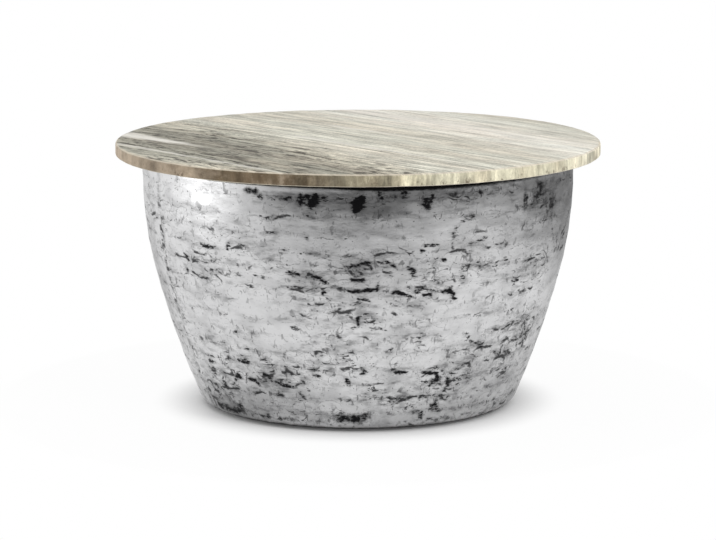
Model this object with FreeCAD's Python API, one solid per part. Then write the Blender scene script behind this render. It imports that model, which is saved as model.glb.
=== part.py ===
"""Round cocktail table: a loose stone top on a hollow hammered base with four levelling feet.

Millimetres, +Z up. The origin is on the floor, on the table's axis.
"""

import FreeCAD
import Part

import math
import os

# Stone top
TABLE_HEIGHT = 416.0
TOP_DIAMETER = 762.0
TOP_THICKNESS = 20.0
TOP_UPPER_EDGE_RADIUS = 4.5
TOP_LOWER_EDGE_RADIUS = 3.0

# Locating disc and the adhesive that bonds it to the stone
DISC_THICKNESS = 12.0
DISC_EDGE_CHAMFER = 2.0
DISC_SIDE_CLEARANCE = 2.5
ADHESIVE_THICKNESS = 1.0
ADHESIVE_DAB_DIAMETER = 60.0
ADHESIVE_DAB_COUNT = 8
ADHESIVE_EDGE_DISTANCE = 60.0

# Silicone bumpers, on the rim and on the cross bars
BUMPER_DIAMETER = 12.0
BUMPER_HEIGHT = 3.0
BUMPER_EDGE_RADIUS = 1.5
RIM_BUMPER_COUNT = 8
CROSS_BUMPER_HOOP_DISTANCE = 150.0

# Base shell: lip, bend, straight collar, two wall arcs, corner and foot lip
SHELL_THICKNESS = 2.5
SHELL_RIM_DIAMETER = 677.0
RIM_BEND_INNER_RADIUS = 3.5
RIM_LIP_WIDTH = 25.0
COLLAR_BELOW_HOOP = 0.5
WALL_UPPER_RADIUS = 611.0
WALL_UPPER_TURN_DEG = 14.8
WALL_LOWER_TURN_DEG = 8.3
FOOT_CORNER_RADIUS = 20.0
FOOT_LIP_WIDTH = 28.0

# Support hoop and cross bars
HOOP_THICKNESS = 5.0
HOOP_BEND_CLEARANCE = 0.5
HOOP_BELOW_BARS = 7.5
BAR_WIDTH = 40.0
BAR_THICKNESS = 6.0

# Base plate and its rivets
PLATE_THICKNESS = 3.0
PLATE_EDGE_CLEARANCE = 2.0
RIVET_COUNT = 8
RIVET_SHANK_DIAMETER = 4.0
RIVET_HEAD_DIAMETER = 8.0
RIVET_HEAD_HEIGHT = 1.6
RIVET_TAIL_DIAMETER = 6.4
RIVET_TAIL_HEIGHT = 1.6
RIVET_HOLE_CLEARANCE = 0.05

# Levelling feet
LEVELLER_COUNT = 4
LEVELLER_FIRST_ANGLE_DEG = 45.0
STUD_DIAMETER = 8.0
STUD_LENGTH = 36.0
STUD_TIP_CHAMFER = 0.8
STUD_HEAD_DIAMETER = 16.0
STUD_HEAD_THICKNESS = 2.0
STUD_SLOT_WIDTH = 1.6
STUD_SLOT_DEPTH = 2.2
NUT_ACROSS_FLATS = 13.0
NUT_HEIGHT = 6.5
NUT_CORNER_CHAMFER = 0.8
THREAD_CLEARANCE = 0.05
PLATE_HOLE_CLEARANCE = 0.5
PAD_DIAMETER = 32.0
PAD_EDGE_CHAMFER = 1.0
PAD_TAPER_WIDTH = 2.5
PAD_TAPER_HEIGHT = 2.1
PAD_FLOOR_THICKNESS = 1.9
PAD_ROOF_THICKNESS = 0.8
PAD_MOUTH_CLEARANCE = 0.5
HEAD_AXIAL_PLAY = 0.3
HEAD_SIDE_PLAY = 0.3
PAD_TOP_GAP = 0.5
PAD_LIP_GAP = 4.0

# Heights from the floor up, worked out from the sizes above
pad_cavity_top = PAD_FLOOR_THICKNESS + STUD_HEAD_THICKNESS + HEAD_AXIAL_PLAY
pad_height = pad_cavity_top + PAD_ROOF_THICKNESS
plate_z = pad_height + PAD_TOP_GAP
foot_z = plate_z - SHELL_THICKNESS
nut_z = plate_z + PLATE_THICKNESS

# Heights from the stone down
stone_under_z = TABLE_HEIGHT - TOP_THICKNESS
rim_z = stone_under_z - BUMPER_HEIGHT
disc_top_z = stone_under_z - ADHESIVE_THICKNESS
disc_under_z = disc_top_z - DISC_THICKNESS
bar_top_z = disc_under_z - BUMPER_HEIGHT
bar_under_z = bar_top_z - BAR_THICKNESS
rim_bend_radius = RIM_BEND_INNER_RADIUS + SHELL_THICKNESS
hoop_top_z = rim_z - rim_bend_radius - HOOP_BEND_CLEARANCE
hoop_under_z = bar_under_z - HOOP_BELOW_BARS
collar_under_z = hoop_under_z - COLLAR_BELOW_HOOP

# Radii and the shell's outline
upper_lean = math.radians(WALL_UPPER_TURN_DEG)
foot_lean = upper_lean + math.radians(WALL_LOWER_TURN_DEG)
rim_radius = SHELL_RIM_DIAMETER / 2
lip_edge_radius = rim_radius - RIM_LIP_WIDTH
bumper_circle_radius = (lip_edge_radius + rim_radius - rim_bend_radius) / 2
disc_radius = lip_edge_radius - DISC_SIDE_CLEARANCE
hoop_outer_radius = rim_radius - SHELL_THICKNESS
hoop_inner_radius = hoop_outer_radius - HOOP_THICKNESS
cross_bumper_radius = hoop_inner_radius - CROSS_BUMPER_HOOP_DISTANCE
wall_lower_drop = (
    collar_under_z
    - WALL_UPPER_RADIUS * math.sin(upper_lean)
    - FOOT_CORNER_RADIUS * (1 - math.sin(foot_lean))
    - foot_z
)
wall_lower_radius = wall_lower_drop / (math.sin(foot_lean) - math.sin(upper_lean))
foot_flat_radius = (
    rim_radius
    - WALL_UPPER_RADIUS * (1 - math.cos(upper_lean))
    - wall_lower_radius * (math.cos(upper_lean) - math.cos(foot_lean))
    - FOOT_CORNER_RADIUS * math.cos(foot_lean)
)
foot_lip_edge_radius = foot_flat_radius - FOOT_LIP_WIDTH
plate_radius = foot_flat_radius - PLATE_EDGE_CLEARANCE
rivet_circle_radius = (foot_lip_edge_radius + plate_radius) / 2
leveller_circle_radius = foot_lip_edge_radius - PAD_DIAMETER / 2 - PAD_LIP_GAP

AXIS = FreeCAD.Vector(0, 0, 1)
CENTRE = FreeCAD.Vector(0, 0, 0)


def at(radius, height):
    """A point of a turned outline, in the XZ plane."""
    return FreeCAD.Vector(radius, 0, height)


def line(start, end):
    """A straight edge of an outline."""
    return Part.LineSegment(start, end).toShape()


def arc(centre, radius, start_angle, end_angle):
    """A round edge of an outline, by its centre and two angles in radians."""

    def point(angle):
        return centre + at(radius * math.cos(angle), radius * math.sin(angle))

    middle_angle = (start_angle + end_angle) / 2
    return Part.Arc(point(start_angle), point(middle_angle), point(end_angle)).toShape()


def turned(edges):
    """The solid that a closed outline makes when it is turned about the Z axis."""
    outline = Part.Wire(Part.__sortEdges__(edges))
    return Part.Face(outline).revolve(CENTRE, AXIS, 360)


def turned_polygon(points):
    """A turned solid with straight edges only."""
    closed = points + points[:1]
    return turned([line(start, end) for start, end in zip(closed, closed[1:])])


def cylinder(radius, under_z, top_z):
    """A cylinder on the Z axis."""
    return Part.makeCylinder(radius, top_z - under_z, at(0, under_z), AXIS)


def ring_places(count, radius, first_angle_deg=0.0):
    """Evenly spaced (x, y) places on a circle about the Z axis."""
    angles = [math.radians(first_angle_deg + 360.0 * i / count) for i in range(count)]
    return [FreeCAD.Vector(radius * math.cos(a), radius * math.sin(a), 0) for a in angles]


def moved(shape, place):
    """A copy of a shape, moved from the Z axis to a place."""
    copy = shape.copy()
    copy.translate(place)
    return copy


def half_step(count):
    """The angle, in degrees, that turns a ring of copies by half its spacing."""
    return 180.0 / count


rivet_places = ring_places(RIVET_COUNT, rivet_circle_radius, half_step(RIVET_COUNT))
leveller_places = ring_places(LEVELLER_COUNT, leveller_circle_radius, LEVELLER_FIRST_ANGLE_DEG)


def marble_top():
    """The stone slab, with a round eased edge above and a smaller one below."""
    radius = TOP_DIAMETER / 2
    upper = at(radius - TOP_UPPER_EDGE_RADIUS, TABLE_HEIGHT - TOP_UPPER_EDGE_RADIUS)
    lower = at(radius - TOP_LOWER_EDGE_RADIUS, stone_under_z + TOP_LOWER_EDGE_RADIUS)
    return turned(
        [
            line(at(0, stone_under_z), at(lower.x, stone_under_z)),
            arc(lower, TOP_LOWER_EDGE_RADIUS, -math.pi / 2, 0),
            line(at(radius, lower.z), at(radius, upper.z)),
            arc(upper, TOP_UPPER_EDGE_RADIUS, 0, math.pi / 2),
            line(at(upper.x, TABLE_HEIGHT), at(0, TABLE_HEIGHT)),
            line(at(0, TABLE_HEIGHT), at(0, stone_under_z)),
        ]
    )


def adhesive_dabs():
    """Round dabs between the stone and the disc."""
    dab = cylinder(ADHESIVE_DAB_DIAMETER / 2, disc_top_z, stone_under_z)
    places = ring_places(
        ADHESIVE_DAB_COUNT, disc_radius - ADHESIVE_EDGE_DISTANCE, half_step(ADHESIVE_DAB_COUNT)
    )
    return Part.makeCompound([moved(dab, place) for place in places])


def locating_disc():
    """The plywood disc that drops into the base's mouth, with a chamfer to lead it in."""
    return turned_polygon(
        [
            at(0, disc_under_z),
            at(disc_radius - DISC_EDGE_CHAMFER, disc_under_z),
            at(disc_radius, disc_under_z + DISC_EDGE_CHAMFER),
            at(disc_radius, disc_top_z),
            at(0, disc_top_z),
        ]
    )


def shell_side(inset):
    """One side of the shell's wall from the rim lip to the foot lip, that far inside the outer one."""
    bend = at(rim_radius - rim_bend_radius, rim_z - rim_bend_radius)
    upper = at(rim_radius - WALL_UPPER_RADIUS, collar_under_z)
    radius_change = WALL_UPPER_RADIUS - wall_lower_radius
    lower = upper + at(radius_change * math.cos(upper_lean), -radius_change * math.sin(upper_lean))
    corner = at(foot_flat_radius, foot_z + FOOT_CORNER_RADIUS)
    side_radius = rim_radius - inset
    return [
        line(at(lip_edge_radius, rim_z - inset), at(bend.x, rim_z - inset)),
        arc(bend, rim_bend_radius - inset, math.pi / 2, 0),
        line(at(side_radius, bend.z), at(side_radius, collar_under_z)),
        arc(upper, WALL_UPPER_RADIUS - inset, 0, -upper_lean),
        arc(lower, wall_lower_radius - inset, -upper_lean, -foot_lean),
        arc(corner, FOOT_CORNER_RADIUS - inset, -foot_lean, -math.pi / 2),
        line(at(foot_flat_radius, foot_z + inset), at(foot_lip_edge_radius, foot_z + inset)),
    ]


def rivet_holes(under_z, top_z):
    """Cutters for the rivets' holes."""
    hole = cylinder(RIVET_SHANK_DIAMETER / 2 + RIVET_HOLE_CLEARANCE, under_z, top_z)
    return [moved(hole, place) for place in rivet_places]


def base_shell():
    """The hammered vessel: one sheet from the rim's turned-in lip to the foot's."""
    rim_edge = line(at(lip_edge_radius, rim_z), at(lip_edge_radius, rim_z - SHELL_THICKNESS))
    foot_edge = line(at(foot_lip_edge_radius, foot_z), at(foot_lip_edge_radius, plate_z))
    shell = turned(shell_side(0) + [foot_edge] + shell_side(SHELL_THICKNESS) + [rim_edge])
    return shell.cut(rivet_holes(foot_z, plate_z))


def support_hoop():
    """The rolled flat bar inside the collar."""
    outside = cylinder(hoop_outer_radius, hoop_under_z, hoop_top_z)
    return outside.cut(cylinder(hoop_inner_radius, hoop_under_z, hoop_top_z))


def bar(start_y, end_y):
    """A flat bar along Y, on its side, with its ends cut to the hoop's inner face."""
    corner = FreeCAD.Vector(-BAR_WIDTH / 2, start_y, bar_under_z)
    blank = Part.makeBox(BAR_WIDTH, end_y - start_y, BAR_THICKNESS, corner)
    return blank.common(cylinder(hoop_inner_radius, bar_under_z, bar_top_z))


def cross_bars():
    """The long bar across the table and the two half bars that butt against it."""
    long_bar = bar(-hoop_inner_radius, hoop_inner_radius)
    long_bar.rotate(CENTRE, AXIS, 90)
    return {
        "cross_bar_long": long_bar,
        "cross_bar_front": bar(-hoop_inner_radius, -BAR_WIDTH / 2),
        "cross_bar_back": bar(BAR_WIDTH / 2, hoop_inner_radius),
    }


def bumper(under_z):
    """One silicone bumper on the Z axis, with a rounded upper edge."""
    radius = BUMPER_DIAMETER / 2
    top_z = under_z + BUMPER_HEIGHT
    edge = at(radius - BUMPER_EDGE_RADIUS, top_z - BUMPER_EDGE_RADIUS)
    return turned(
        [
            line(at(0, under_z), at(radius, under_z)),
            line(at(radius, under_z), at(radius, edge.z)),
            arc(edge, BUMPER_EDGE_RADIUS, 0, math.pi / 2),
            line(at(edge.x, top_z), at(0, top_z)),
            line(at(0, top_z), at(0, under_z)),
        ]
    )


def rim_bumpers():
    """Bumpers on the rim's lip, under the stone."""
    places = ring_places(RIM_BUMPER_COUNT, bumper_circle_radius, half_step(RIM_BUMPER_COUNT))
    return Part.makeCompound([moved(bumper(rim_z), place) for place in places])


def cross_bumpers():
    """Bumpers on the crossing and on each of the bars' four arms, under the disc."""
    places = [CENTRE] + ring_places(4, cross_bumper_radius)
    return Part.makeCompound([moved(bumper(bar_top_z), place) for place in places])


def base_plate():
    """The round plate that closes the foot, with holes for the rivets and the studs."""
    stud_hole = cylinder(STUD_DIAMETER / 2 + PLATE_HOLE_CLEARANCE, plate_z, nut_z)
    stud_holes = [moved(stud_hole, place) for place in leveller_places]
    return cylinder(plate_radius, plate_z, nut_z).cut(rivet_holes(plate_z, nut_z) + stud_holes)


def plate_rivets():
    """Rivets with a domed head under the foot's lip and a flat tail on the plate."""
    head_radius = RIVET_HEAD_DIAMETER / 2
    dome_radius = (head_radius**2 + RIVET_HEAD_HEIGHT**2) / (2 * RIVET_HEAD_HEIGHT)
    dome_centre = at(0, foot_z - RIVET_HEAD_HEIGHT + dome_radius)
    rim_angle = -math.acos(head_radius / dome_radius)
    shank_radius = RIVET_SHANK_DIAMETER / 2
    tail_radius = RIVET_TAIL_DIAMETER / 2
    tail_z = nut_z + RIVET_TAIL_HEIGHT
    outline = [
        at(head_radius, foot_z),
        at(shank_radius, foot_z),
        at(shank_radius, nut_z),
        at(tail_radius, nut_z),
        at(tail_radius, tail_z),
        at(0, tail_z),
        at(0, foot_z - RIVET_HEAD_HEIGHT),
    ]
    edges = [line(start, end) for start, end in zip(outline, outline[1:])]
    rivet = turned(edges + [arc(dome_centre, dome_radius, -math.pi / 2, rim_angle)])
    return Part.makeCompound([moved(rivet, place) for place in rivet_places])


def leveller_nuts():
    """Hexagon nuts on the plate, with chamfered upper corners and a plain bore for the thread."""
    corner_radius = NUT_ACROSS_FLATS / math.sqrt(3)
    top_z = nut_z + NUT_HEIGHT
    corners = [place + at(0, nut_z) for place in ring_places(6, corner_radius)]
    hexagon = Part.Face(Part.makePolygon(corners + corners[:1]))
    blank = hexagon.extrude(AXIS * NUT_HEIGHT)
    chamfer = turned_polygon(
        [
            at(0, nut_z),
            at(corner_radius, nut_z),
            at(corner_radius, top_z - NUT_CORNER_CHAMFER),
            at(corner_radius - NUT_CORNER_CHAMFER, top_z),
            at(0, top_z),
        ]
    )
    bore = cylinder(STUD_DIAMETER / 2 + THREAD_CLEARANCE, nut_z, top_z)
    nut = blank.common(chamfer).cut(bore)
    return Part.makeCompound([moved(nut, place) for place in leveller_places])


def leveller_stud():
    """A flat-headed stud on the Z axis, standing in its pad, with a slot across its upper end."""
    radius = STUD_DIAMETER / 2
    head_top_z = PAD_FLOOR_THICKNESS + STUD_HEAD_THICKNESS
    top_z = PAD_FLOOR_THICKNESS + STUD_LENGTH
    stud = turned_polygon(
        [
            at(0, PAD_FLOOR_THICKNESS),
            at(STUD_HEAD_DIAMETER / 2, PAD_FLOOR_THICKNESS),
            at(STUD_HEAD_DIAMETER / 2, head_top_z),
            at(radius, head_top_z),
            at(radius, top_z - STUD_TIP_CHAMFER),
            at(radius - STUD_TIP_CHAMFER, top_z),
            at(0, top_z),
        ]
    )
    slot_corner = FreeCAD.Vector(-radius, -STUD_SLOT_WIDTH / 2, top_z - STUD_SLOT_DEPTH)
    return stud.cut(Part.makeBox(STUD_DIAMETER, STUD_SLOT_WIDTH, STUD_SLOT_DEPTH, slot_corner))


def leveller_pad():
    """A nylon pad on the Z axis, hollow where it snaps over the stud's head."""
    radius = PAD_DIAMETER / 2
    cavity_radius = STUD_HEAD_DIAMETER / 2 + HEAD_SIDE_PLAY
    mouth_radius = STUD_DIAMETER / 2 + PAD_MOUTH_CLEARANCE
    return turned_polygon(
        [
            at(0, 0),
            at(radius - PAD_EDGE_CHAMFER, 0),
            at(radius, PAD_EDGE_CHAMFER),
            at(radius, pad_height - PAD_TAPER_HEIGHT),
            at(radius - PAD_TAPER_WIDTH, pad_height),
            at(mouth_radius, pad_height),
            at(mouth_radius, pad_cavity_top),
            at(cavity_radius, pad_cavity_top),
            at(cavity_radius, PAD_FLOOR_THICKNESS),
            at(0, PAD_FLOOR_THICKNESS),
        ]
    )


def levellers():
    """Each foot's stud and pad at its place."""
    parts = {}
    for number, place in enumerate(leveller_places, start=1):
        parts[f"leveller_{number}_stud"] = moved(leveller_stud(), place)
        parts[f"leveller_{number}_pad"] = moved(leveller_pad(), place)
    return parts


def main():
    parts = {
        "marble_top": marble_top(),
        "adhesive_dabs": adhesive_dabs(),
        "locating_disc": locating_disc(),
        "base_shell": base_shell(),
        "support_hoop": support_hoop(),
        "rim_bumpers": rim_bumpers(),
        "cross_bumpers": cross_bumpers(),
        "base_plate": base_plate(),
        "plate_rivets": plate_rivets(),
        "leveller_nuts": leveller_nuts(),
    }
    parts.update(cross_bars())
    parts.update(levellers())
    os.makedirs("parts", exist_ok=True)
    for name, shape in parts.items():
        volume_cm3 = round(shape.Volume / 1000, 2)
        print(f"{name}: solids {len(shape.Solids)}, valid {shape.isValid()}, {volume_cm3} cm3")
        shape.exportStep(f"parts/{name}.step")


main()
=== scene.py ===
"""Looks of a round cocktail table: a grained stone slab on a hammered, antiqued metal base.

The file is laid out as an add-on. Each operator makes or finishes one piece or group of like pieces
around the packed frame, and main() runs them in order.
"""

import math

import bmesh
import bpy
import numpy as np
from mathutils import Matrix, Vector


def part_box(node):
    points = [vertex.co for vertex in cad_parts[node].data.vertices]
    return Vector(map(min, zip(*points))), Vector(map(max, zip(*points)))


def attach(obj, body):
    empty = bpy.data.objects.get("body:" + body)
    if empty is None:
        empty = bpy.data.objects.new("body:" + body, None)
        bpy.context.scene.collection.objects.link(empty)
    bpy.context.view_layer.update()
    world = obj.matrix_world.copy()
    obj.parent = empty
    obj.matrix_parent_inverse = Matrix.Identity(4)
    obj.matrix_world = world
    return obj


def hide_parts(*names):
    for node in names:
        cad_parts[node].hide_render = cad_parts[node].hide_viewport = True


bl_info = {
    "name": "Round Cocktail Table",
    "version": (1, 0, 0),
    "blender": (4, 5, 0),
    "location": "View3D > Sidebar > Table",
    "description": "Stone top, hammered base, fittings and stage around the table's frame",
    "category": "Object",
}

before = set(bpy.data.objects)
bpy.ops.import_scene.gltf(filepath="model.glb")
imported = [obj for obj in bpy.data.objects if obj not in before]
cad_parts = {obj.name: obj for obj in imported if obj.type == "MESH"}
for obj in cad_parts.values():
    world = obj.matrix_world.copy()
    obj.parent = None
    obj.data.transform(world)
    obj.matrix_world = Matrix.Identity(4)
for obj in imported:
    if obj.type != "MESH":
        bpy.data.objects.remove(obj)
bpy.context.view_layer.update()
PHOTO_WIDTH_PX = 716
SENSOR_WIDTH_MM = 36.0

STONE_LOW, STONE_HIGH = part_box("marble_top")
SHELL_LOW, SHELL_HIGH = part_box("base_shell")
DISC_LOW, DISC_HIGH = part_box("locating_disc")
PLATE_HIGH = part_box("base_plate")[1]
LEVELLERS = (1, 2, 3, 4)

# Faces of the small turned shapes: round a stud, in one turn of its thread, round the slab's eased edge,
# round a weld bead and along one of its ripples. A tack weld's length is in metres.
THREAD_SIDES = 24
THREAD_ROWS = 6
EDGE_ROWS = 6
BEAD_SIDES = 12
BEAD_ROWS = 4
TACK_LENGTH = 0.006

# Where the dents fade out, in metres along the sheet: at the rim, at the foot, and inside below the mouth.
RIM_FADE = 0.02
FOOT_FADE = 0.015
MOUTH_DEPTH = 0.05

# Sizes of the stage in metres: the floor's side, and how far the camera sees.
FLOOR_SIZE = 60.0
CAMERA_REACH = 200.0

# Pale veins of the stone: place across the grain, half width, start and end along the grain, strength.
STONE_VEINS = (
    (-0.243, 0.018, -0.38, -0.06, 1.0),
    (-0.318, 0.0045, -0.30, 0.34, 0.6),
    (-0.053, 0.006, -0.12, 0.36, 0.55),
    (0.075, 0.006, -0.18, 0.12, 0.6),
    (0.226, 0.012, -0.34, 0.36, 0.45),
)

# The studio's level, and its brighter and dimmer sides, as metal shows them: the way to each in X and Y,
# the cosine of the angle from it at which the side starts, and how much it changes the level.
STUDIO_LEVEL = 0.86
STUDIO_SIDES = (
    ((-1.0, 0.0), 0.2, 0.22),
    ((-0.22, -0.975), 0.55, -0.62),
    ((0.97, -0.24), 0.3, -0.42),
    ((0.55, 0.835), 0.72, -0.45),
)


def colour(name, default, description):
    """A colour that the user can change, in linear red, green and blue."""
    return bpy.props.FloatVectorProperty(
        name=name, description=description, default=default, size=3, min=0, max=1, subtype="COLOR"
    )


def length(name, default, description):
    """A length in metres that the user can change."""
    return bpy.props.FloatProperty(
        name=name, description=description, default=default, min=0, precision=5, unit="LENGTH"
    )


def angle(name, degrees, description):
    """An angle that the user can change."""
    return bpy.props.FloatProperty(
        name=name, description=description, default=math.radians(degrees), subtype="ANGLE"
    )


def share(name, default, description):
    """A share or strength that the user can change."""
    return bpy.props.FloatProperty(name=name, description=description, default=default, min=0)


class StoneSettings(bpy.types.PropertyGroup):
    """Sizes and colours of the stone slab."""

    segments: bpy.props.IntProperty(
        name="Rim segments", description="Faces around the slab's rim", default=480, min=24
    )
    upper_edge: length("Upper edge radius", 0.0045, "Radius of the eased edge above")
    lower_edge: length("Lower edge radius", 0.003, "Radius of the eased edge below")
    edge_wear: length("Edge wear", 0.0011, "Deepest wear of the hand-eased edge")
    grain_turn: angle("Grain turn", 49.0, "Turn that lays the grain along the pattern's X axis")
    pale: colour("Pale stone", (0.675, 0.648, 0.564), "Cream stone of the larger side")
    bright: colour("Bright stone", (0.87, 0.84, 0.77), "Palest bands and veins")
    middle: colour("Middle stone", (0.49, 0.466, 0.392), "Stone between the cream and the grey-brown side")
    dark: colour("Dark stone", (0.290, 0.272, 0.226), "Grey-brown stone of the smaller side")
    fleck: colour("Flecks", (0.060, 0.054, 0.044), "Short dark flecks in the grey-brown stone")
    tan: colour("Tan edge", (0.455, 0.378, 0.325), "Warm tone of the cut edge on the grey-brown side")
    # Partly wear and partly a painted highlight where the eased edge turns.
    arris: colour("Worn arris", (0.72, 0.64, 0.52), "Pale line where the edge is worn")
    umber: colour("Umber edge", (0.115, 0.080, 0.055), "Darkest bands of the cut edge")


class BaseSettings(bpy.types.PropertyGroup):
    """Sizes and colours of the hammered base shell."""

    segments: bpy.props.IntProperty(
        name="Turn segments", description="Faces around the shell", default=420, min=48
    )
    sheet: length("Sheet thickness", 0.0025, "Thickness of the shell's sheet")
    bend: length("Rim bend radius", 0.006, "Outer radius of the bend below the rim's lip")
    lip: length("Rim lip", 0.025, "Width of the rim's turned-in lip")
    collar: length("Collar height", 0.027, "Straight wall below the rim")
    wall_radius: length("Upper wall radius", 0.611, "Radius of the wall's upper arc, seen from the side")
    wall_turn: angle("Upper wall turn", 14.8, "How far the upper arc turns inwards")
    foot_turn: angle("Lower wall turn", 8.3, "How much further the lower arc turns inwards")
    corner: length("Foot corner radius", 0.02, "Outer radius of the rounded foot")
    foot_lip: length("Foot lip", 0.028, "Width of the foot's turned-in lip")
    row_step: length("Row step", 0.0026, "Height of one row of the outer wall's mesh")
    inner_row_step: length("Inner row step", 0.0075, "Height of one row of the inner wall's mesh")
    unrolled_radius: length("Unrolled radius", 0.3, "Radius at which the hammer pattern has its true width")
    blow_width: length("Blow width", 0.044, "Width of one hammer mark")
    blow_height: length("Blow height", 0.027, "Height of one hammer mark")
    dent: length("Dent depth", 0.0009, "Depth of one hammer mark")
    seam_angle: angle("Seam angle", -154.5, "Place of the sheet's upright seam, from the X axis")
    silver: colour("Silver", (0.68, 0.68, 0.685), "Bare hammered metal")
    burnish: colour("Burnish", (0.84, 0.84, 0.845), "Hairlines that polishing left bright")
    # The colour below also paints shade: painted shadow under the slab, dim painted reflections at the edges
    # and painted shade near the foot, through the clouds.
    smoke_and_shade: colour("Smoke", (0.24, 0.24, 0.243), "Thin antique stain")
    # The black below also paints shade: the dark line under the rim and the dark underside of the foot.
    black: colour("Black", (0.012, 0.012, 0.013), "Antique stain left in the creases")


class FittingSettings(bpy.types.PropertyGroup):
    """Colours of the fittings that the top hides."""

    aluminium: colour("Mill aluminium", (0.60, 0.61, 0.62), "Hoop, bars, plate and rivets")
    zinc: colour("Zinc plate", (0.52, 0.53, 0.55), "Studs and nuts")
    veneer: colour("Veneer", (0.58, 0.40, 0.22), "Face of the plywood disc")
    inner_ply: colour("Inner ply", (0.36, 0.21, 0.10), "Every other ply of the disc's edge")
    silicone: colour("Silicone", (0.78, 0.80, 0.80), "Clear bumpers")
    sealant: colour("Sealant", (0.62, 0.60, 0.55), "Dabs of adhesive")
    nylon: colour("Nylon", (0.018, 0.018, 0.019), "Leveller pads")


class LevellerSettings(bpy.types.PropertyGroup):
    """Sizes of the levellers' studs and of the welds."""

    stud_radius: length("Stud radius", 0.00395, "Radius at the crests of the stud's thread")
    pitch: length("Pitch", 0.00125, "Rise of the thread in one turn")
    thread_depth: length("Thread depth", 0.00068, "Height of the thread's teeth")
    head: length("Stud head", 0.002, "Thickness of the stud's flat head")
    tip: length("Tip chamfer", 0.0008, "Chamfer of the stud's upper end")
    slot_width: length("Slot width", 0.0016, "Width of the screwdriver slot")
    slot_depth: length("Slot depth", 0.0022, "Depth of the screwdriver slot")
    bead: length("Weld bead", 0.0019, "Radius of the beads along the cross bars")
    tack: length("Tack bead", 0.0009, "Radius of the small beads at the nuts")


class StageSettings(bpy.types.PropertyGroup):
    """Camera and light."""

    distance: length("Camera distance", 4.953, "Level distance from the table's axis")
    height: length("Camera height", 1.0859, "Height above the floor")
    pitch: angle("Camera pitch", 10.06, "How far the camera looks down")
    focal_px: share("Focal length", 3177.0, "Focal length in pixels of the 716 px wide frame")
    key_watts: share("Key light", 10.0, "Power of the soft light on the left")
    top_watts: share("Top light", 18.0, "Power of the soft light above")
    front_watts: share("Front light", 55.0, "Power of the soft light in front, on the right")
    ambient: share("Ambient", 0.62, "Strength of the white surroundings on dull surfaces")


def select_only(piece):
    """Make one piece the only selected and active one."""
    bpy.ops.object.select_all(action="DESELECT")
    piece.select_set(True)
    bpy.context.view_layer.objects.active = piece


def new_piece(name):
    """Name the primitive that was just added and put its place into its mesh."""
    piece = bpy.context.active_object
    piece.name = name
    piece.data.name = name
    bpy.ops.object.transform_apply(location=True, rotation=True, scale=True)
    return piece


def pick_edges(piece, test):
    """In edit mode, select only the edges whose two ends pass a test of their place."""
    mesh = bmesh.from_edit_mesh(piece.data)
    for edge in mesh.edges:
        edge.select_set(False)
    for edge in mesh.edges:
        if all(test(vertex.co) for vertex in edge.verts):
            edge.select_set(True)
    bmesh.update_edit_mesh(piece.data)


def pick_faces(piece, test):
    """In edit mode, select only the faces that pass a test of their middle and normal."""
    mesh = bmesh.from_edit_mesh(piece.data)
    for face in mesh.faces:
        face.select_set(False)
    for face in mesh.faces:
        if test(face.calc_center_median(), face.normal):
            face.select_set(True)
    bmesh.update_edit_mesh(piece.data)


def close_and_turn_out():
    """In edit mode, merge doubled vertices and point every face outwards."""
    bpy.ops.mesh.select_all(action="SELECT")
    bpy.ops.mesh.remove_doubles(threshold=1e-6)
    bpy.ops.mesh.normals_make_consistent(inside=False)


def vertex_places(piece):
    """The vertices of a piece as an array of X, Y and Z."""
    places = np.empty(len(piece.data.vertices) * 3, np.float32)
    piece.data.vertices.foreach_get("co", places)
    return places.reshape(-1, 3)


def leveller_place(number):
    """Where a leveller's axis stands on the floor."""
    low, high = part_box(f"leveller_{number}_stud")
    return Vector(((low.x + high.x) / 2, (low.y + high.y) / 2, 0))


def copy_piece(pattern, name, move, turn=0.0):
    """A copy of a piece with its own mesh, turned about Z and moved, with its place in the mesh."""
    piece = pattern.copy()
    piece.data = pattern.data.copy()
    piece.name = name
    piece.data.name = name
    bpy.context.scene.collection.objects.link(piece)
    select_only(piece)
    piece.rotation_euler = (0, 0, turn)
    piece.location = move
    bpy.ops.object.transform_apply(location=True, rotation=True, scale=True)
    return piece


def edit_all():
    """Enter edit mode on the active piece with all of it selected."""
    bpy.ops.object.mode_set(mode="EDIT")
    bpy.ops.mesh.select_all(action="SELECT")


def extrude(x, y, z):
    """In edit mode, extrude what is selected along X, Y and Z."""
    bpy.ops.mesh.extrude_region_move(TRANSFORM_OT_translate={"value": (x, y, z)})


def move_vertices(piece, places):
    """Put a piece's vertices at the places of an array."""
    piece.data.vertices.foreach_set("co", places.ravel())
    piece.data.update()


def store(piece, name, values):
    """Keep a number for each vertex in a piece's mesh, for nodes to read."""
    layer = piece.data.attributes.new(name, "FLOAT", "POINT")
    layer.data.foreach_set("value", values.astype(np.float32))


def smooth(piece, degrees):
    """Shade a piece smooth, except at edges sharper than an angle."""
    select_only(piece)
    bpy.ops.object.shade_smooth_by_angle(angle=math.radians(degrees))


def apply_modifiers(piece):
    """Apply a piece's modifiers, first to last."""
    select_only(piece)
    for modifier in [m.name for m in piece.modifiers]:
        bpy.ops.object.modifier_apply(modifier=modifier)


def dress(piece, material):
    """Give a piece one material all over."""
    piece.data.materials.clear()
    piece.data.materials.append(material)


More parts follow.
